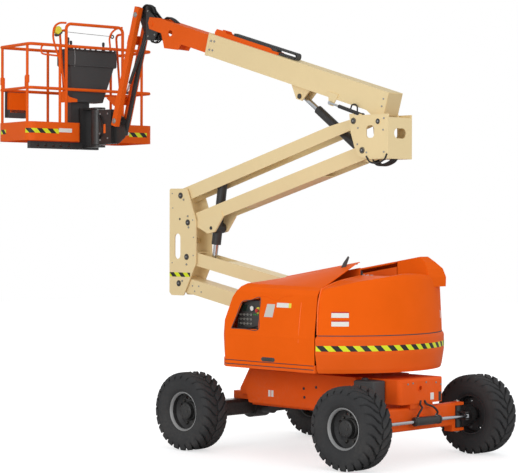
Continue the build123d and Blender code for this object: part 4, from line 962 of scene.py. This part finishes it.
@dataclass
class Superstructure:
    """Plates, seams, warning band, latch and ground controls of the hoods and the counterweight."""

    radius: float = 1190.0
    flat: float = 1000.0
    deck_radius: float = 1180.0
    deck_flat: float = 992.0
    cover_radius: float = 1164.0
    cover_lean: float = 24.0 / 445.0
    cover_lean_from: float = 1440.0
    wall_lean: float = 48.0
    wall_lean_from: float = 1290.0
    wall_lean_height: float = 435.0
    ridge_x: float = -900.0
    ridge_rise: float = 28.0
    ridge_fall: float = 35.0 / 2000.0
    band_top: float = 1221.0
    band_height: float = 57.0
    body: str = "turntable"

    def arc(self, radius: float, start_deg: float, end_deg: float, z: float, count: int = 72) -> Array:
        """Points of a level arc about the slewing axis."""
        turn = np.radians(np.linspace(start_deg, end_deg, count))
        return np.stack([radius * np.cos(turn), radius * np.sin(turn), np.full(count, z)], axis=1)

    def outward(self, path: Array) -> Array:
        """Unit vectors away from the slewing axis."""
        flat = path * np.array([1.0, 1.0, 0.0])
        return unit(flat)

    def wall(self, points: Points, side: float = -1.0, lift: float = 0.0) -> Array:
        """Points on the side wall of a hood.

        The wall stands at y = flat up to wall_lean_from. Above that it leans in by wall_lean over a height of
        wall_lean_height + rise, where rise is ridge_rise at ridge_x and falls by ridge_fall for each unit of x.

        Args:
            points: An (x, z) pair per point.
            side: +1 for the far hood, -1 for the near one.
            lift: Distance out of the wall.

        Returns:
            One row per point.
        """
        x, z = np.asarray(points, dtype=float).T
        rise = self.ridge_rise - self.ridge_fall * (x - self.ridge_x)
        lean = self.wall_lean * np.maximum(z - self.wall_lean_from, 0.0) / (self.wall_lean_height + rise)
        return np.stack([x, side * (self.flat - lean + lift), z], axis=1)

    def make(self) -> None:
        """Builds every detail of the superstructure."""
        self.band()
        self.ledge()
        self.plates()
        self.hood_trim()
        self.ground_controls()
        self.slot_parts()

    def band(self) -> None:
        """Warning bars round the counterweight."""
        path = self.arc(self.radius, -56.0, 56.0, self.band_top)
        ribbon("warning_band_rear", self.body, path, Axis.NEG_Z.value, self.band_height, self.outward(path))

    def ledge(self) -> None:
        """Dark seam under the rear cover, and a rounded bead along the cover's front edges in light orange, a
        painted highlight.
        """
        path = self.arc(1166.0, -55.2, 55.2, 1325.0)
        ribbon("cover_seam", self.body, path, Axis.NEG_Z.value, 9.0, self.outward(path), 5.0, BLACK_PLASTIC)
        # y and z of the cover's front edge
        edge = np.array([(963, 1334), (958, 1500), (945, 1655), (904, 1785), (860, 1809), (640, 1874),
                         (316, 1921)], dtype=float)
        # light orange bead along each front edge: a painted highlight on the rounded corner
        for side, tag in ((-1, "near"), (1, "far")):
            hose(f"cover_edge_highlight_{tag}", self.body, [(662.0, side * y, z - 4) for y, z in edge], 8.0, ORANGE_HIGHLIGHT,
                 up=(1, 0.1, 0), count=90)

    def plates(self) -> None:
        """Blank plates, with the coloured head of a notice on three of them."""
        out = (0, -1.6, 0)
        for name, finish, corners in (
            ("hood_plate_tall", LABEL_GREY, [(-49, 1623), (66, 1623), (40, 1487), (-85, 1487)]),
            ("hood_plate_wide", LABEL, [(90, 1592), (262, 1592), (262, 1640), (90, 1640)]),
            ("hood_plate_yellow", LABEL_YELLOW, [(262, 1592), (299, 1592), (299, 1640), (262, 1640)]),
        ):
            slab(name, "hood_near", finish, self.wall(corners), out, 0.5)
        for index, z in enumerate((1566, 1478)):
            self.arc_plate(f"cover_plate_{index}", -48.4, 8.8, z, 60, LABEL)
            self.arc_plate(f"cover_plate_head_{index}", -48.4, 8.8, z, 12, LABEL_RED)
        self.arc_plate("cover_plate_far", 30.5, 1.6, 1545, 84, LABEL)

    def arc_plate(self, name: str, start: float, span: float, top: float, height: float, finish: Finish) -> None:
        """A thin plate bent to the rear cover, between two angles."""
        path = self.arc(self.cover_radius, start, start + span, top, 12)
        down = unit(self.outward(path) * self.cover_lean - np.array([0.0, 0.0, 1.0]))
        path -= self.outward(path) * self.cover_lean * (top - self.cover_lean_from)
        lift = 2.6 if "head" in name else 1.8
        ribbon(name, self.body, path, down, height, self.outward(path), lift, finish)

    def hood_trim(self) -> None:
        """Seams, deck moulding, pressed creases, latches and the fin on the near hood; the upright crease is
        light orange, a painted highlight.
        """
        for side, tag in ((-1, "near"), (1, "far")):
            body = f"hood_{tag}"
            x = np.linspace(-690.0, 640.0, 56)
            out = np.stack([np.zeros_like(x), np.full_like(x, float(side)), np.zeros_like(x)], axis=1)
            y = side * np.minimum(self.deck_flat, np.sqrt(self.deck_radius**2 - x**2))
            for name, top, high, thick, finish in (
                ("hood_seam", 1019.0, 9.0, 2.0, BLACK_PLASTIC),
                ("deck_moulding", 1008.0, 30.0, 6.0, ORANGE_COVER), ("deck_seam", 976.0, 8.0, 1.5, BLACK_PLASTIC),
            ):
                path = np.stack([x, y, np.full_like(x, top)], axis=1)
                ribbon(f"{name}_{tag}", self.body, path, Axis.NEG_Z.value, high, out, thick, finish)
            crease = [(303, 1722), (190, 1708), (73, 1667), (-45, 1700), (-163, 1700)]
            hose(f"crease_{tag}", body, self.wall(crease, side, -2.5), 5.5, ORANGE_COVER, up=(0, 1, 0.1),
                 count=50)
            # upright crease in light orange: a painted highlight along the pressed edge
            post = [(430, 1240), (431, 1400), (433, 1560), (436, 1655)]
            hose(f"crease_upright_highlight_{tag}", body, self.wall(post, side, -2.5), 5.5, ORANGE_HIGHLIGHT, up=(0, 1, 0.1))
            recess = [(-106, 1045), (-84, 1023), (80, 1024), (99, 1046), (82, 1067), (-86, 1068)]
            slab(f"latch_recess_{tag}", body, BLACK_PLASTIC, self.wall(recess, side), (0, side * 3.0, 0), 1.0)
            grip = [(-62, 1036), (44, 1037), (52, 1046), (42, 1056), (-60, 1056), (-70, 1046)]
            slab(f"latch_handle_{tag}", body, STEEL_DARK, self.wall(grip, side, 3.0), (0, side * 5.0, 0), 1.5)
        rim = [(-557, 1350), (-491, 1490), (-425, 1630), (-292, 1656), (-160, 1682), (-160, 1516), (-159, 1352),
               (-358, 1351), (-557, 1350)]
        hose("window_trim", "hood_near", self.wall(rim, -1.0, 0.5), 4.0, BLACK_PLASTIC, up=(0, 1, 0.1), count=140)
        slab("fin", "hood_near", BLACK_PLASTIC,
             [(470, -404, 1990), (538, -404, 2000), (590, -404, 2112), (574, -404, 2126), (505, -404, 2050)],
             (0, 9.0, 0), 2.0)

    def ground_controls(self) -> None:
        """Switches, gauge, screen, lamps and emergency stop on the panel behind the near window."""
        face, body = -902.0, self.body
        out = Axis.NEG_Y.value
        box("control_plate", body, STEEL_DARK, (-545, face - 8, 1345), (-165, face + 2, 1650), 3)
        rows = [(-500 + 52 * i, face - 8, 1400 + 48 * j) for j in range(3) for i in range(4)]
        studs("toggle_collars", body, ZINC, rows, out, 11, 8, 16)
        for index, (x, y, z) in enumerate(rows):
            turned(f"toggle_{index}", body, ZINC, (x, y - 6, z), (0.0, -1.0, 0.25),
                   [(0, 26), (4, 25), (3, 0), (0, 0)], 10)
        turned("emergency_stop_collar", body, LABEL_YELLOW, (-235, face - 8, 1545), out,
               [(0, 6), (34, 6), (36, 4), (36, 0), (0, 0)], 32)
        turned("emergency_stop", body, STOP_RED, (-235, face - 14, 1545), out,
               [(0, 30), (18, 29), (23, 24), (21, 14), (11, 12), (11, 0), (0, 0)], 32)
        turned("hour_gauge", body, BLACK_PLASTIC, (-330, face - 8, 1565), out,
               [(0, 4), (27, 5), (31, 10), (34, 8), (34, 0), (0, 0)], 36)
        turned("hour_gauge_face", body, LABEL, (-330, face - 12.5, 1565), out,
               [(0, 0.8), (25, 0.8), (25, 0), (0, 0)], 36)
        box("control_screen", body, SCREEN, (-470, face - 12, 1530), (-385, face - 7, 1600), 2)
        lamps = [(-300 + 26 * i, face - 8, 1500) for i in range(3)]
        studs("control_lamps", body, LAMP_GREEN, lamps, out, 7, 6, 16)
        hose("control_cable", body, [(-500, face - 4, 1500), (-520, face - 20, 1420), (-470, face - 30, 1370),
                                     (-360, face - 22, 1358), (-240, face - 6, 1380)], 7)

    def slot_parts(self) -> None:
        """What shows between the hoods: valve blocks, fittings and hoses."""
        box("slot_valve", self.body, BLACK_PLASTIC, (560, -286, 1700), (860, -228, 1905), 8)
        box("slot_valve_small", self.body, STEEL_DARK, (470, -286, 1720), (545, -232, 1840), 6)
        caps = [(610 + 55 * i, -257, 1905) for i in range(4)]
        studs("slot_valve_caps", self.body, ZINC, caps, Axis.Z.value, 17, 26, 6)
        for index in range(3):
            y = -272 + 15 * index
            hose(f"slot_hose_{index}", self.body, [(640, y, 1905), (620, y, 1965), (540, y + 2, 1960),
                                                   (470, y + 1, 1850), (440, y, 1700)], 7)


# Chassis


@dataclass
class Chassis:
    """Fittings, plates, hoses and pins of the chassis and its axles."""

    hull_y: float = 430.0
    nose_x: float = 1250.0
    body: str = "chassis"

    def make(self) -> None:
        """Builds the chassis details."""
        near, nose = Axis.NEG_Y.value, Axis.X.value
        holes = [(-30, 705), (150, 730), (-20, 612)]
        # flat black discs over the holes in the hull side: painted shade of the holes
        studs("hull_hole_shade", self.body, BLACK_PAINT, [(x, -self.hull_y, z) for x, z in holes], near, 13, 3, 24)
        for index, x in enumerate((-560, -515)):
            slab(f"hull_label_{index}", self.body, LABEL, [(x, -self.hull_y, 585), (x + 34, -self.hull_y, 585),
                                                           (x + 34, -self.hull_y, 655), (x, -self.hull_y, 655)],
                 (0, -1.5, 0), 0.4)
        slab("nose_label", self.body, LABEL, facing_rect(self.nose_x, (130, 640), (185, 712)), (1.5, 0, 0), 0.4)
        turned("tank_cap", self.body, BLACK_PLASTIC, (860, -452, 853), Axis.Z.value,
               [(0, 26), (24, 26), (33, 22), (36, 16), (36, 6), (30, 4), (30, 0), (0, 0)], 36)
        # thin black sheet on the nose where a slot shows dark: painted shade
        slab("nose_slot_shade", self.body, BLACK_PAINT, facing_rect(self.nose_x, (262, 620), (305, 716)),
             (1.2, 0, 0), 0.3)
        bolts = ((-230, 820), (-150, 826), (60, 826), (220, 815), (300, 790))
        studs("nose_bolts", self.body, ZINC, [(self.nose_x, y, z) for y, z in bolts], nose, 9, 7)
        for side, tag in ((-1, "near"), (1, "far")):
            for z, way in ((588, 1), (262, -1)):
                turned(f"kingpin_cap_{tag}_{'top' if way > 0 else 'low'}", self.body, ZINC,
                       (1170, side * 665, z), (0, 0, way),
                       [(0, 12), (8, 11), (9, 3), (32, 2), (34, -4), (0, -4)], 24)
        for index, (y, way) in enumerate(((-150, -1), (150, 1))):
            hose(f"steer_hose_{index}", self.body, [(1312, y, 482), (1330, y, 520), (1322, y * 0.6, 575),
                                                   (1268, y * 0.35, 600), (1252, y * 0.2, 640)], 11)
            turned(f"steer_port_{index}", self.body, ZINC, (1312, y, 478), (0, 0, 1),
                   [(0, 22), (12, 22), (12, 10), (16, 8), (16, 0), (0, 0)], 6)
        for y in (-178, 178):
            turned(f"steer_gland_{'near' if y < 0 else 'far'}", self.body, STEEL_DARK, (1312, y, 438),
                   (0, 1 if y > 0 else -1, 0), [(0, 26), (34, 26), (40, 20), (47, 18), (48, -6), (0, -6)], 36)


# Tower


@dataclass(frozen=True)
class LinkFrame:
    """Places points by distance along a link, height above its line and side."""

    x: float
    z: float
    angle: float
    toward: int

    def at(self, along: float, high: float, y: float) -> Array:
        """A point of the link in machine millimetres."""
        c, s = math.cos(math.radians(self.angle)), math.sin(math.radians(self.angle))
        return np.array([self.x + self.toward * (c * along - s * high), y, self.z + s * along + c * high])

    def run(self) -> Array:
        """Unit vector along the link."""
        c, s = math.cos(math.radians(self.angle)), math.sin(math.radians(self.angle))
        return np.array([self.toward * c, 0.0, s])

    def up(self) -> Array:
        """Unit vector square to the link."""
        c, s = math.cos(math.radians(self.angle)), math.sin(math.radians(self.angle))
        return np.array([-self.toward * s, 0.0, c])


@dataclass
class Tower:
    """Pin caps, keepers, bolts, warning band and hoses of the two-stage tower."""

    plate_y: float = 132.0
    upper_y: float = 190.0
    pins: tuple[tuple[float, float], ...] = ((-2297, 2784), (-2173, 2471), (-2193, 2072), (-2325, 1762))
    keepers: tuple[tuple[float, float], ...] = (
        (-2245, 2737), (-2173, 2544), (-2160, 2415), (-2193, 1985), (-2266, 1791))

    def cap(self, name: str, body: str, place: Vec, out: Vec, size: float) -> None:
        """Pin end in its washer, with a small bolt in the middle."""
        turned(name, body, STEEL_DARK, place, out,
               [(0, 8), (size * 0.5, 8), (size * 0.6, 11), (size * 0.82, 11), (size * 0.9, 7), (size * 1.25, 5),
                (size * 1.3, -2), (0, -2)], 40)
        studs(f"{name}_bolt", body, ZINC_DULL, [np.asarray(place, dtype=float) + 8 * np.asarray(out)], out, 9, 7)

    def make(self) -> None:
        """Builds the tower details."""
        for side, tag in ((-1, "near"), (1, "far")):
            out = (0.0, float(side), 0.0)
            y = side * self.plate_y
            for index, (x, z) in enumerate(self.pins):
                self.cap(f"upright_pin_{index}_{tag}", "lower_upright", (x, y, z), out, 28)
            studs(f"upright_keepers_{tag}", "lower_upright", ZINC, [(x, y, z) for x, z in self.keepers],
                  out, 11, 9)
            spots = [(-2440, 2810), (-2430, 2640), (-2090, 2500), (-2075, 2300), (-2080, 2090), (-2440, 2000)]
            studs(f"upright_bolts_{tag}", "lower_upright", ZINC_DULL, [(x, y, z) for x, z in spots], out, 7, 6)
            # flat black disc at the eye in the plate: painted shade of the hole
            studs(f"upright_eye_shade_{tag}", "lower_upright", BLACK_PAINT, [(-2311, y, 2511)], out, 11, 1.6, 24)
            band = np.array([[-2485.0, y, 1889.0], [-2132.0, y, 1889.0]])
            ribbon(f"warning_band_upright_{tag}", "lower_upright", band, Axis.NEG_Z.value, 50.0, out)
            foot = [(-2119, 1737), (-2013, 1735), (-2081, 1676), (-1972, 1669)]
            studs(f"lower_link_bolts_{tag}", "lower_link_bottom", ZINC_DULL,
                  [(x, side * 105, z) for x, z in foot], out, 8, 6)
            for index, (x, z) in enumerate(((455, 3547), (579, 3234), (800, 3530))):
                self.cap(f"upper_pin_{index}_{tag}", "upper_upright", (x, side * self.upper_y, z), out, 27)
            spots = [(520, 3470), (512, 3300), (640, 3210), (880, 3210), (880, 3560), (870, 3440)]
            studs(f"upper_bolts_{tag}", "upper_upright", ZINC_DULL,
                  [(x, side * self.upper_y, z) for x, z in spots], out, 9, 7)
        for index in range(3):
            y = -60 + 36 * index
            hose(f"upright_hose_{index}", "upper_upright", [(900, y, 3180), (860, y, 3118), (760, y - 10, 3080),
                                                            (660, y, 3092), (600, y + 8, 3160)], 13)
        hose("upright_hose_side", "upper_upright", [(640, -196, 3170), (700, -200, 3108), (800, -200, 3096),
                                                    (890, -198, 3130), (925, -194, 3190)], 9)


# Boom


@dataclass
class Boom:
    """Pads, bolts, hose carrier and end fittings of the telescopic boom."""

    frame: LinkFrame = field(default_factory=lambda: LinkFrame(800.0, 3530.0, 16.6, -1))
    half: float = 115.0
    bottom: float = 59.0
    top: float = 311.0

    def make(self) -> None:
        """Builds the boom details."""
        at, run, up = self.frame.at, self.frame.run(), self.frame.up()
        for side, tag in ((-1, "near"), (1, "far")):
            out = (0.0, float(side), 0.0)
            pads = [at(u, v, side * self.half) for u, v in ((2787, 237), (2733, 241), (2788, 133), (2734, 137))]
            studs(f"pad_bolts_{tag}", "main_boom", ZINC_DULL, pads, out, 11, 9)
            collar = [at(2812, self.bottom, side * self.half), at(2847, self.bottom, side * self.half),
                      at(2847, self.top, side * self.half), at(2812, self.top, side * self.half)]
            slab(f"front_collar_{tag}", "main_boom", CREAM, collar, (0, side * 4.0, 0), 2.0)
            studs(f"rear_bolts_{tag}", "main_boom", ZINC_DULL, [at(60, v, side * self.half) for v in (150, 230)],
                  out, 9, 7)
            studs(f"gusset_pin_{tag}", "main_boom", STEEL_DARK, [at(1281, -42, side * 80)], out, 24, 6, 32)
        for v, low, high in ((self.top, "top", 1), (self.bottom, "low", -1)):
            corners = [at(2812, v, -self.half), at(2847, v, -self.half), at(2847, v, self.half),
                       at(2812, v, self.half)]
            slab(f"front_collar_{low}", "main_boom", CREAM, corners, up * high * 4.0, 2.0)
        self.carrier()
        # rear end face in darker cream: painted shade
        end = [at(12, self.bottom + 8, -self.half + 8), at(12, self.bottom + 8, self.half - 8),
               at(12, self.top - 8, self.half - 8), at(12, self.top - 8, -self.half + 8)]
        slab("rear_cap_shade", "main_boom", CREAM_SHADE, end, -run * 6.0, 2.0)
        for index, shift in enumerate((0, 26, 52)):
            hose(f"nose_hose_{index}", "fly_boom", [at(3520, 292, -30 + shift), at(3600, 316, -30 + shift),
                                                    at(3690, 322, -26 + shift), at(3740, 296, -20 + shift)], 9)
        hose("level_hose", "level_barrel", [(470, -145, 3648), (466, -145, 3700), (430, -145, 3726),
                                            (392, -145, 3716), (376, -145, 3682)], 8)

    def carrier(self) -> None:
        """Raised side of the hose tray, and the folding carrier: link after link with a bend at its rear end."""
        at, run, up = self.frame.at, self.frame.run(), self.frame.up()
        side = [(1850, 312), (1850, 350), (1880, 361), (2615, 364), (2640, 384), (2780, 380), (2800, 345),
                (2800, 312)]
        for y, tag in ((-72, "near"), (30, "far")):
            slab(f"tray_side_{tag}", "main_boom", ORANGE, [at(u, v, y) for u, v in side], (0, 2.5, 0), 0.8)
        links = 32
        along = np.linspace(1500.0, 2492.0, links)
        bend = np.radians(np.linspace(90, 270, 7)[1:-1])
        u = np.concatenate([along, along, 1500.0 + 27.0 * np.cos(bend)])
        v = np.concatenate([np.full(links, 327.0), np.full(links, 379.0), 353.0 + 27.0 * np.sin(bend)])
        base = np.array([at(a, b, -20.0) for a, b in zip(u, v)])
        shape = np.array([(-13, -12), (13, -12), (13, 12), (-13, 12)], dtype=float)
        loop = shape[:, :1] * run + shape[:, 1:] * up
        link = np.vstack([loop + (0, -34, 0), loop + (0, 34, 0)])
        points = (base[:, None, :] + link[None]).reshape(-1, 3)
        quad = np.array([[0, 1, 5, 4], [1, 2, 6, 5], [2, 3, 7, 6], [3, 0, 4, 7], [0, 1, 2, 3], [4, 5, 6, 7]])
        faces = (quad[None] + 8 * np.arange(len(base))[:, None, None]).reshape(-1, 4).tolist()
        Piece("carrier_links", "main_boom", BLACK_PLASTIC).fill(points, faces).bevel(2.0)


# Jib and platform


@dataclass
class Jib:
    """Pins, hoses and bolts of the jib."""

    def make(self) -> None:
        """Builds the jib details."""
        top, foot = (-3118.0, 4955.0), (-3505.0, 3700.0)
        for side, tag in ((-1, "near"), (1, "far")):
            out = (0.0, float(side), 0.0)
            for body, (x, z), name in (("jib_bracket", top, "top"), ("turn_actuator", foot, "foot")):
                turned(f"jib_pin_{name}_{tag}", body, ZINC, (x, side * 122, z), out,
                       [(0, 8), (20, 8), (24, 4), (32, 3), (33, 0), (0, 0)], 32)
            spots = [(-2950, 4990), (-2890, 4900), (-2830, 4700), (-2945, 4690)]
            studs(f"bracket_bolts_{tag}", "jib_bracket", ZINC, [(x, side * 66, z) for x, z in spots], out, 10, 8)
            spots = [(-3700, 3500), (-3700, 3800), (-3840, 3480), (-3850, 3560), (-3850, 3720), (-3840, 3800)]
            studs(f"actuator_bolts_{tag}", "turn_actuator", ZINC_DULL, [(x, side * 56, z) for x, z in spots],
                  out, 10, 8)
        # orange strap, in the light orange that also paints highlights
        slab("actuator_strap", "turn_actuator", ORANGE_HIGHLIGHT,
             [(-3775, -56, 3562), (-3738, -56, 3562), (-3738, -56, 3673), (-3775, -56, 3673)], (0, -4.0, 0), 1.0)
        for index in range(2):
            y = -20 + 34 * index
            hose(f"jib_hose_top_{index}", "jib_bracket",
                 [(-2880, y, 4960), (-2930, y, 5040), (-3030, y - 4, 5072), (-3105, y, 5030),
                  (-3120, y, 4960)], 10)
            hose(f"jib_hose_low_{index}", "jib_bracket",
                 [(-2815, y, 4690), (-2806, y, 4648), (-2850, y, 4620 - 4 * index),
                  (-2925, y, 4624 - 4 * index), (-2965, y, 4668)], 9)
            hose(f"actuator_hose_{index}", "turn_actuator",
                 [(-3860, -58 - 6 * index, 3800), (-3820, -84, 3740 - 30 * index), (-3790, -86, 3640),
                  (-3800, -78, 3560), (-3850, -62, 3500)], 8)


@dataclass
class Platform:
    """Warning bars, plates, console, wiring and brackets of the work platform."""

    turn_x: float = -3940.0
    angle: float = -7.0
    out: float = 512.0
    half_w: float = 380.0
    half_l: float = 915.0
    corner: float = 100.0
    rail_x: float = -158.0
    body: str = "platform"

    def place(self, points: Array) -> Array:
        """Turns and moves platform points to where it stands."""
        a = math.radians(self.angle)
        turn = np.array([[math.cos(a), math.sin(a), 0], [-math.sin(a), math.cos(a), 0], [0, 0, 1]])
        return np.asarray(points, dtype=float) @ turn + np.array([self.turn_x, 0, 0])

    def way(self, x: float, y: float, z: float) -> Array:
        """A platform direction in machine axes."""
        return self.place(np.array([[x, y, z]]))[0] - np.array([self.turn_x, 0, 0])

    def plate(self, name: str, finish: Finish, corners: Points, depth: Vec,
              bevel: float = 0.4) -> Piece:
        """A slab given in platform coordinates."""
        return slab(name, self.body, finish, self.place(np.array(corners, dtype=float)), self.way(*depth), bevel)

    def tube(self, name: str, points: Points, radius: float, finish: Finish = ORANGE,
             count: int = 48) -> Piece:
        """A hose or tube given in platform coordinates."""
        return hose(name, self.body, self.place(np.array(points, dtype=float)), radius, finish, up=(1, 0.1, 0),
                    count=count)

    def make(self) -> None:
        """Builds the platform details."""
        self.bands()
        self.guards()
        self.console()

    def bands(self) -> None:
        """Warning bars and blank plates on the kick plates."""
        near, far, end = -self.out + self.half_w, -self.out - self.half_w, self.half_l
        turn = np.radians(np.linspace(-80, 0, 16))
        corner = np.stack([near - self.corner + self.corner * np.cos(turn),
                           -end + self.corner + self.corner * np.sin(turn), np.full(16, 3612.0)], axis=1)
        wrap = np.vstack([corner, [(near, -489.0, 3612.0)]])
        face = np.vstack([np.stack([np.cos(turn), np.sin(turn), np.zeros(16)], axis=1), [(1.0, 0.0, 0.0)]])
        flip = np.array([1.0, -1.0, 1.0])
        stop = np.array([(near, 545.0, 3602.0), (near, 812.0, 3602.0)])
        low = np.array([(far + 95, -end, 3610.0), (far + 215, -end, 3610.0)])
        for name, path, out in (
            ("band_inboard_near", wrap, face), ("band_inboard_far", stop, np.array([(1.0, 0.0, 0.0)] * 2)),
            ("band_end", low, np.array([(0.0, -1.0, 0.0)] * 2)),
            ("band_far_end", (low * flip)[::-1], np.array([(0.0, 1.0, 0.0)] * 2)),
        ):
            outward = self.place(out) - np.array([self.turn_x, 0.0, 0.0])
            ribbon(name, self.body, self.place(path), Axis.NEG_Z.value, 56.0, outward)
        for index, (low, high) in enumerate((((-489, 3572), (-302, 3621)), ((365, 3566), (545, 3602)))):
            self.plate(f"kick_plate_blank_{index}", LABEL, facing_rect(near, low, high), (1.6, 0, 0))

    def guards(self) -> None:
        """Curved guard tubes, grab handle, gussets, trip cord and its switch at the raised rail."""
        x = self.rail_x
        for name, line, radius, count in (
            ("guard_near", [(-372, 4918), (-470, 4908), (-540, 4850), (-556, 4730), (-520, 4600), (-472, 4480),
                            (-430, 4320), (-383, 4120)], 13, 70),
            ("guard_far", [(455, 4915), (360, 4890), (290, 4830), (264, 4760), (270, 4690), (276, 4618)], 12, 50),
            ("grab_handle", [(-455, 4506), (-600, 4512), (-700, 4520), (-726, 4548), (-722, 4600),
                             (-700, 4628)], 11, 48),
        ):
            self.tube(name, [(x, y, z) for y, z in line], radius, count=count)
        back = -self.out - self.half_w + 39
        for name, finish, at_x, depth, bevel, outline in (
            ("switch_body", LABEL_YELLOW, x - 30, 60, 6,
             [(-538, 4790), (-526, 4850), (-490, 4872), (-456, 4850), (-446, 4806), (-500, 4760)]),
            ("switch_foot", BLACK_PLASTIC, x - 36, 72, 3,
             [(-534, 4768), (-500, 4742), (-446, 4782), (-440, 4812), (-500, 4768)]),
            ("rail_gusset_near", ORANGE, x + 4, 8, 2,
             [(-460, 4070), (-400, 4078), (-330, 4012), (-215, 3988), (-213, 3953), (-447, 3936)]),
            ("rail_gusset_far", ORANGE, x + 4, 8, 2,
             [(214, 4020), (262, 4046), (330, 4040), (462, 3990), (462, 3925), (330, 3925)]),
            ("document_back", BLACK_PLASTIC, back, 7, 2,
             [(-832, 3766), (-560, 3766), (-556, 4092), (-830, 4092)]),
            ("document_base", BLACK_PLASTIC, back + 7, 72, 3,
             [(-802, 3766), (-558, 3766), (-558, 3868), (-802, 3868)]),
        ):
            self.plate(name, finish, [(at_x, y, z) for y, z in outline], (depth, 0, 0), bevel)
        self.tube("trip_cord", [(x, -448, 4812), (x, -200, 4803), (x, 60, 4797), (x, 296, 4792)], 3,
                  STEEL_DARK, 24)
        ring_at = self.place(np.array([(x, 303, 4791)]))[0]
        turned("trip_ring", self.body, BLACK_PLASTIC, ring_at, self.way(1, 0, 0),
               [(14, -6), (24, -8), (28, 0), (24, 8), (14, 6)], 32, 60)

    def console(self) -> None:
        """Lid, levers, switches, bezel and lead of the console."""
        x, top = self.rail_x, 4600.0
        self.plate("console_lid", BLACK_PLASTIC, level_rect(top - 2, (x - 286, -324), (x - 34, 394)),
                   (0, 0, 14), 6)
        self.plate("console_bezel", STEEL_DARK, level_rect(top + 11, (x - 260, -90), (x - 90, 150)), (0, 0, 4), 2)
        for index, (back, y, high) in enumerate(((70, -300, 118), (120, 250, 92), (180, -190, 92))):
            centre = self.place(np.array([[x - back, y, top + 11]]))[0]
            turned(f"lever_boot_{index}", self.body, BLACK_PLASTIC, centre, Axis.Z.value,
                   [(0, 30), (12, 29), (15, 23), (22, 18), (26, 10), (32, 5), (33, 0), (0, 0)], 32)
            turned(f"lever_grip_{index}", self.body, BLACK_PLASTIC, centre + (0, 0, 24), Axis.Z.value,
                   [(0, high), (12, high - 3), (17, high - 14), (17, high * 0.55), (11, high * 0.3), (9, 0),
                    (0, 0)], 28)
        y = np.array([-245, -196, -139, 207, 313, 355, 383, -60, 20, 100], dtype=float)
        back = np.array([60, 64, 60, 60, 62, 100, 60, 60, 60, 60], dtype=float)
        spots = self.place(np.stack([x - back, y, np.full(len(y), top + 11)], axis=1))
        studs("console_switches", self.body, BLACK_PLASTIC, spots, Axis.Z.value, 12, 24, 12)
        self.tube("console_lead", [(x - 40, -228, 4612), (x - 26, -228, 4560), (x - 25, -228, 4480),
                                   (x - 30, -226, 4420), (x - 44, -222, 4392)], 3.5, ZINC_DULL, 30)
        for z, half_y, half_x, mid in ((4404, 342, 124, 35), (3968, 226, 100, -20)):
            outline = level_rect(z, (x - 150 - half_x, mid - half_y), (x - 150 + half_x, mid + half_y))
            self.plate(f"console_ridge_{z}", BLACK_PLASTIC, outline, (0, 0, 14), 4)


# The frame's own nodes

# each finish, with the starts of the names of the nodes that wear it
NODE_FINISHES: tuple[tuple[Finish, tuple[str, ...]], ...] = (
    (TYRE, ("tyre_",)), (RIM_SHADE, ("rim_",)), (ENGINE, ("engine_block",)), (GREY_PLASTIC, ("platform_console",)),
    (ORANGE_FRAME, ("chassis_frame", "steer_axle")), (ORANGE_CAST, ("counterweight",)),
    (ORANGE_COVER, ("rear_cover", "hood_", "document_box")),
    (ORANGE, ("turntable_deck", "hose_tray", "fly_boom", "jib_arm", "platform_tray", "platform_rails",
              "platform_gate")),
    (CREAM, ("lower_link", "lower_upright", "mid_link", "upper_upright", "main_boom")),
    (BLACK_PAINT, ("drive_axle", "steering_cylinder", "knuckle_", "tower_barrel", "lift_barrel", "level_barrel",
                   "jib_barrel", "jib_bracket", "jib_level_link", "turn_actuator", "platform_mount")),
    (BLACK_PLASTIC, ("chassis_tank", "ground_panel", "tank_block", "hose_carrier")),
    (CHROME, ("steering_rod", "tower_rod", "lift_rod", "level_rod", "jib_rod")),
)


def dress_nodes(nodes: dict[str, bpy.types.Object]) -> None:
    """Gives every CAD node the finish that is listed for the start of its name."""
    for name, obj in nodes.items():
        finish = next(f for f, starts in NODE_FINISHES if name.startswith(starts))
        for slot in obj.material_slots:
            slot.material = finish.material()
        LOG.info("dressed %s with %s", name, finish.name)


def main() -> None:
    """Builds the looks around the frame."""
    global YARD
    logging.basicConfig(level=logging.INFO, format="%(name)s: %(message)s")
    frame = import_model()
    slew = next(j for j in frame["joints"] if j["name"] == "swing")["pos_m"]
    YARD = Yard(slew[0], slew[1])
    bpy.context.scene.view_settings.view_transform = "Standard"
    studio = Studio()
    studio.camera()
    studio.lights()
    studio.floor()
    dress_nodes(frame["nodes"])
    Wheels().make(frame["joints"])
    for part in (Superstructure(), Chassis(), Tower(), Boom(), Jib(), Platform()):
        part.make()


if __name__ == "__main__":
    main()
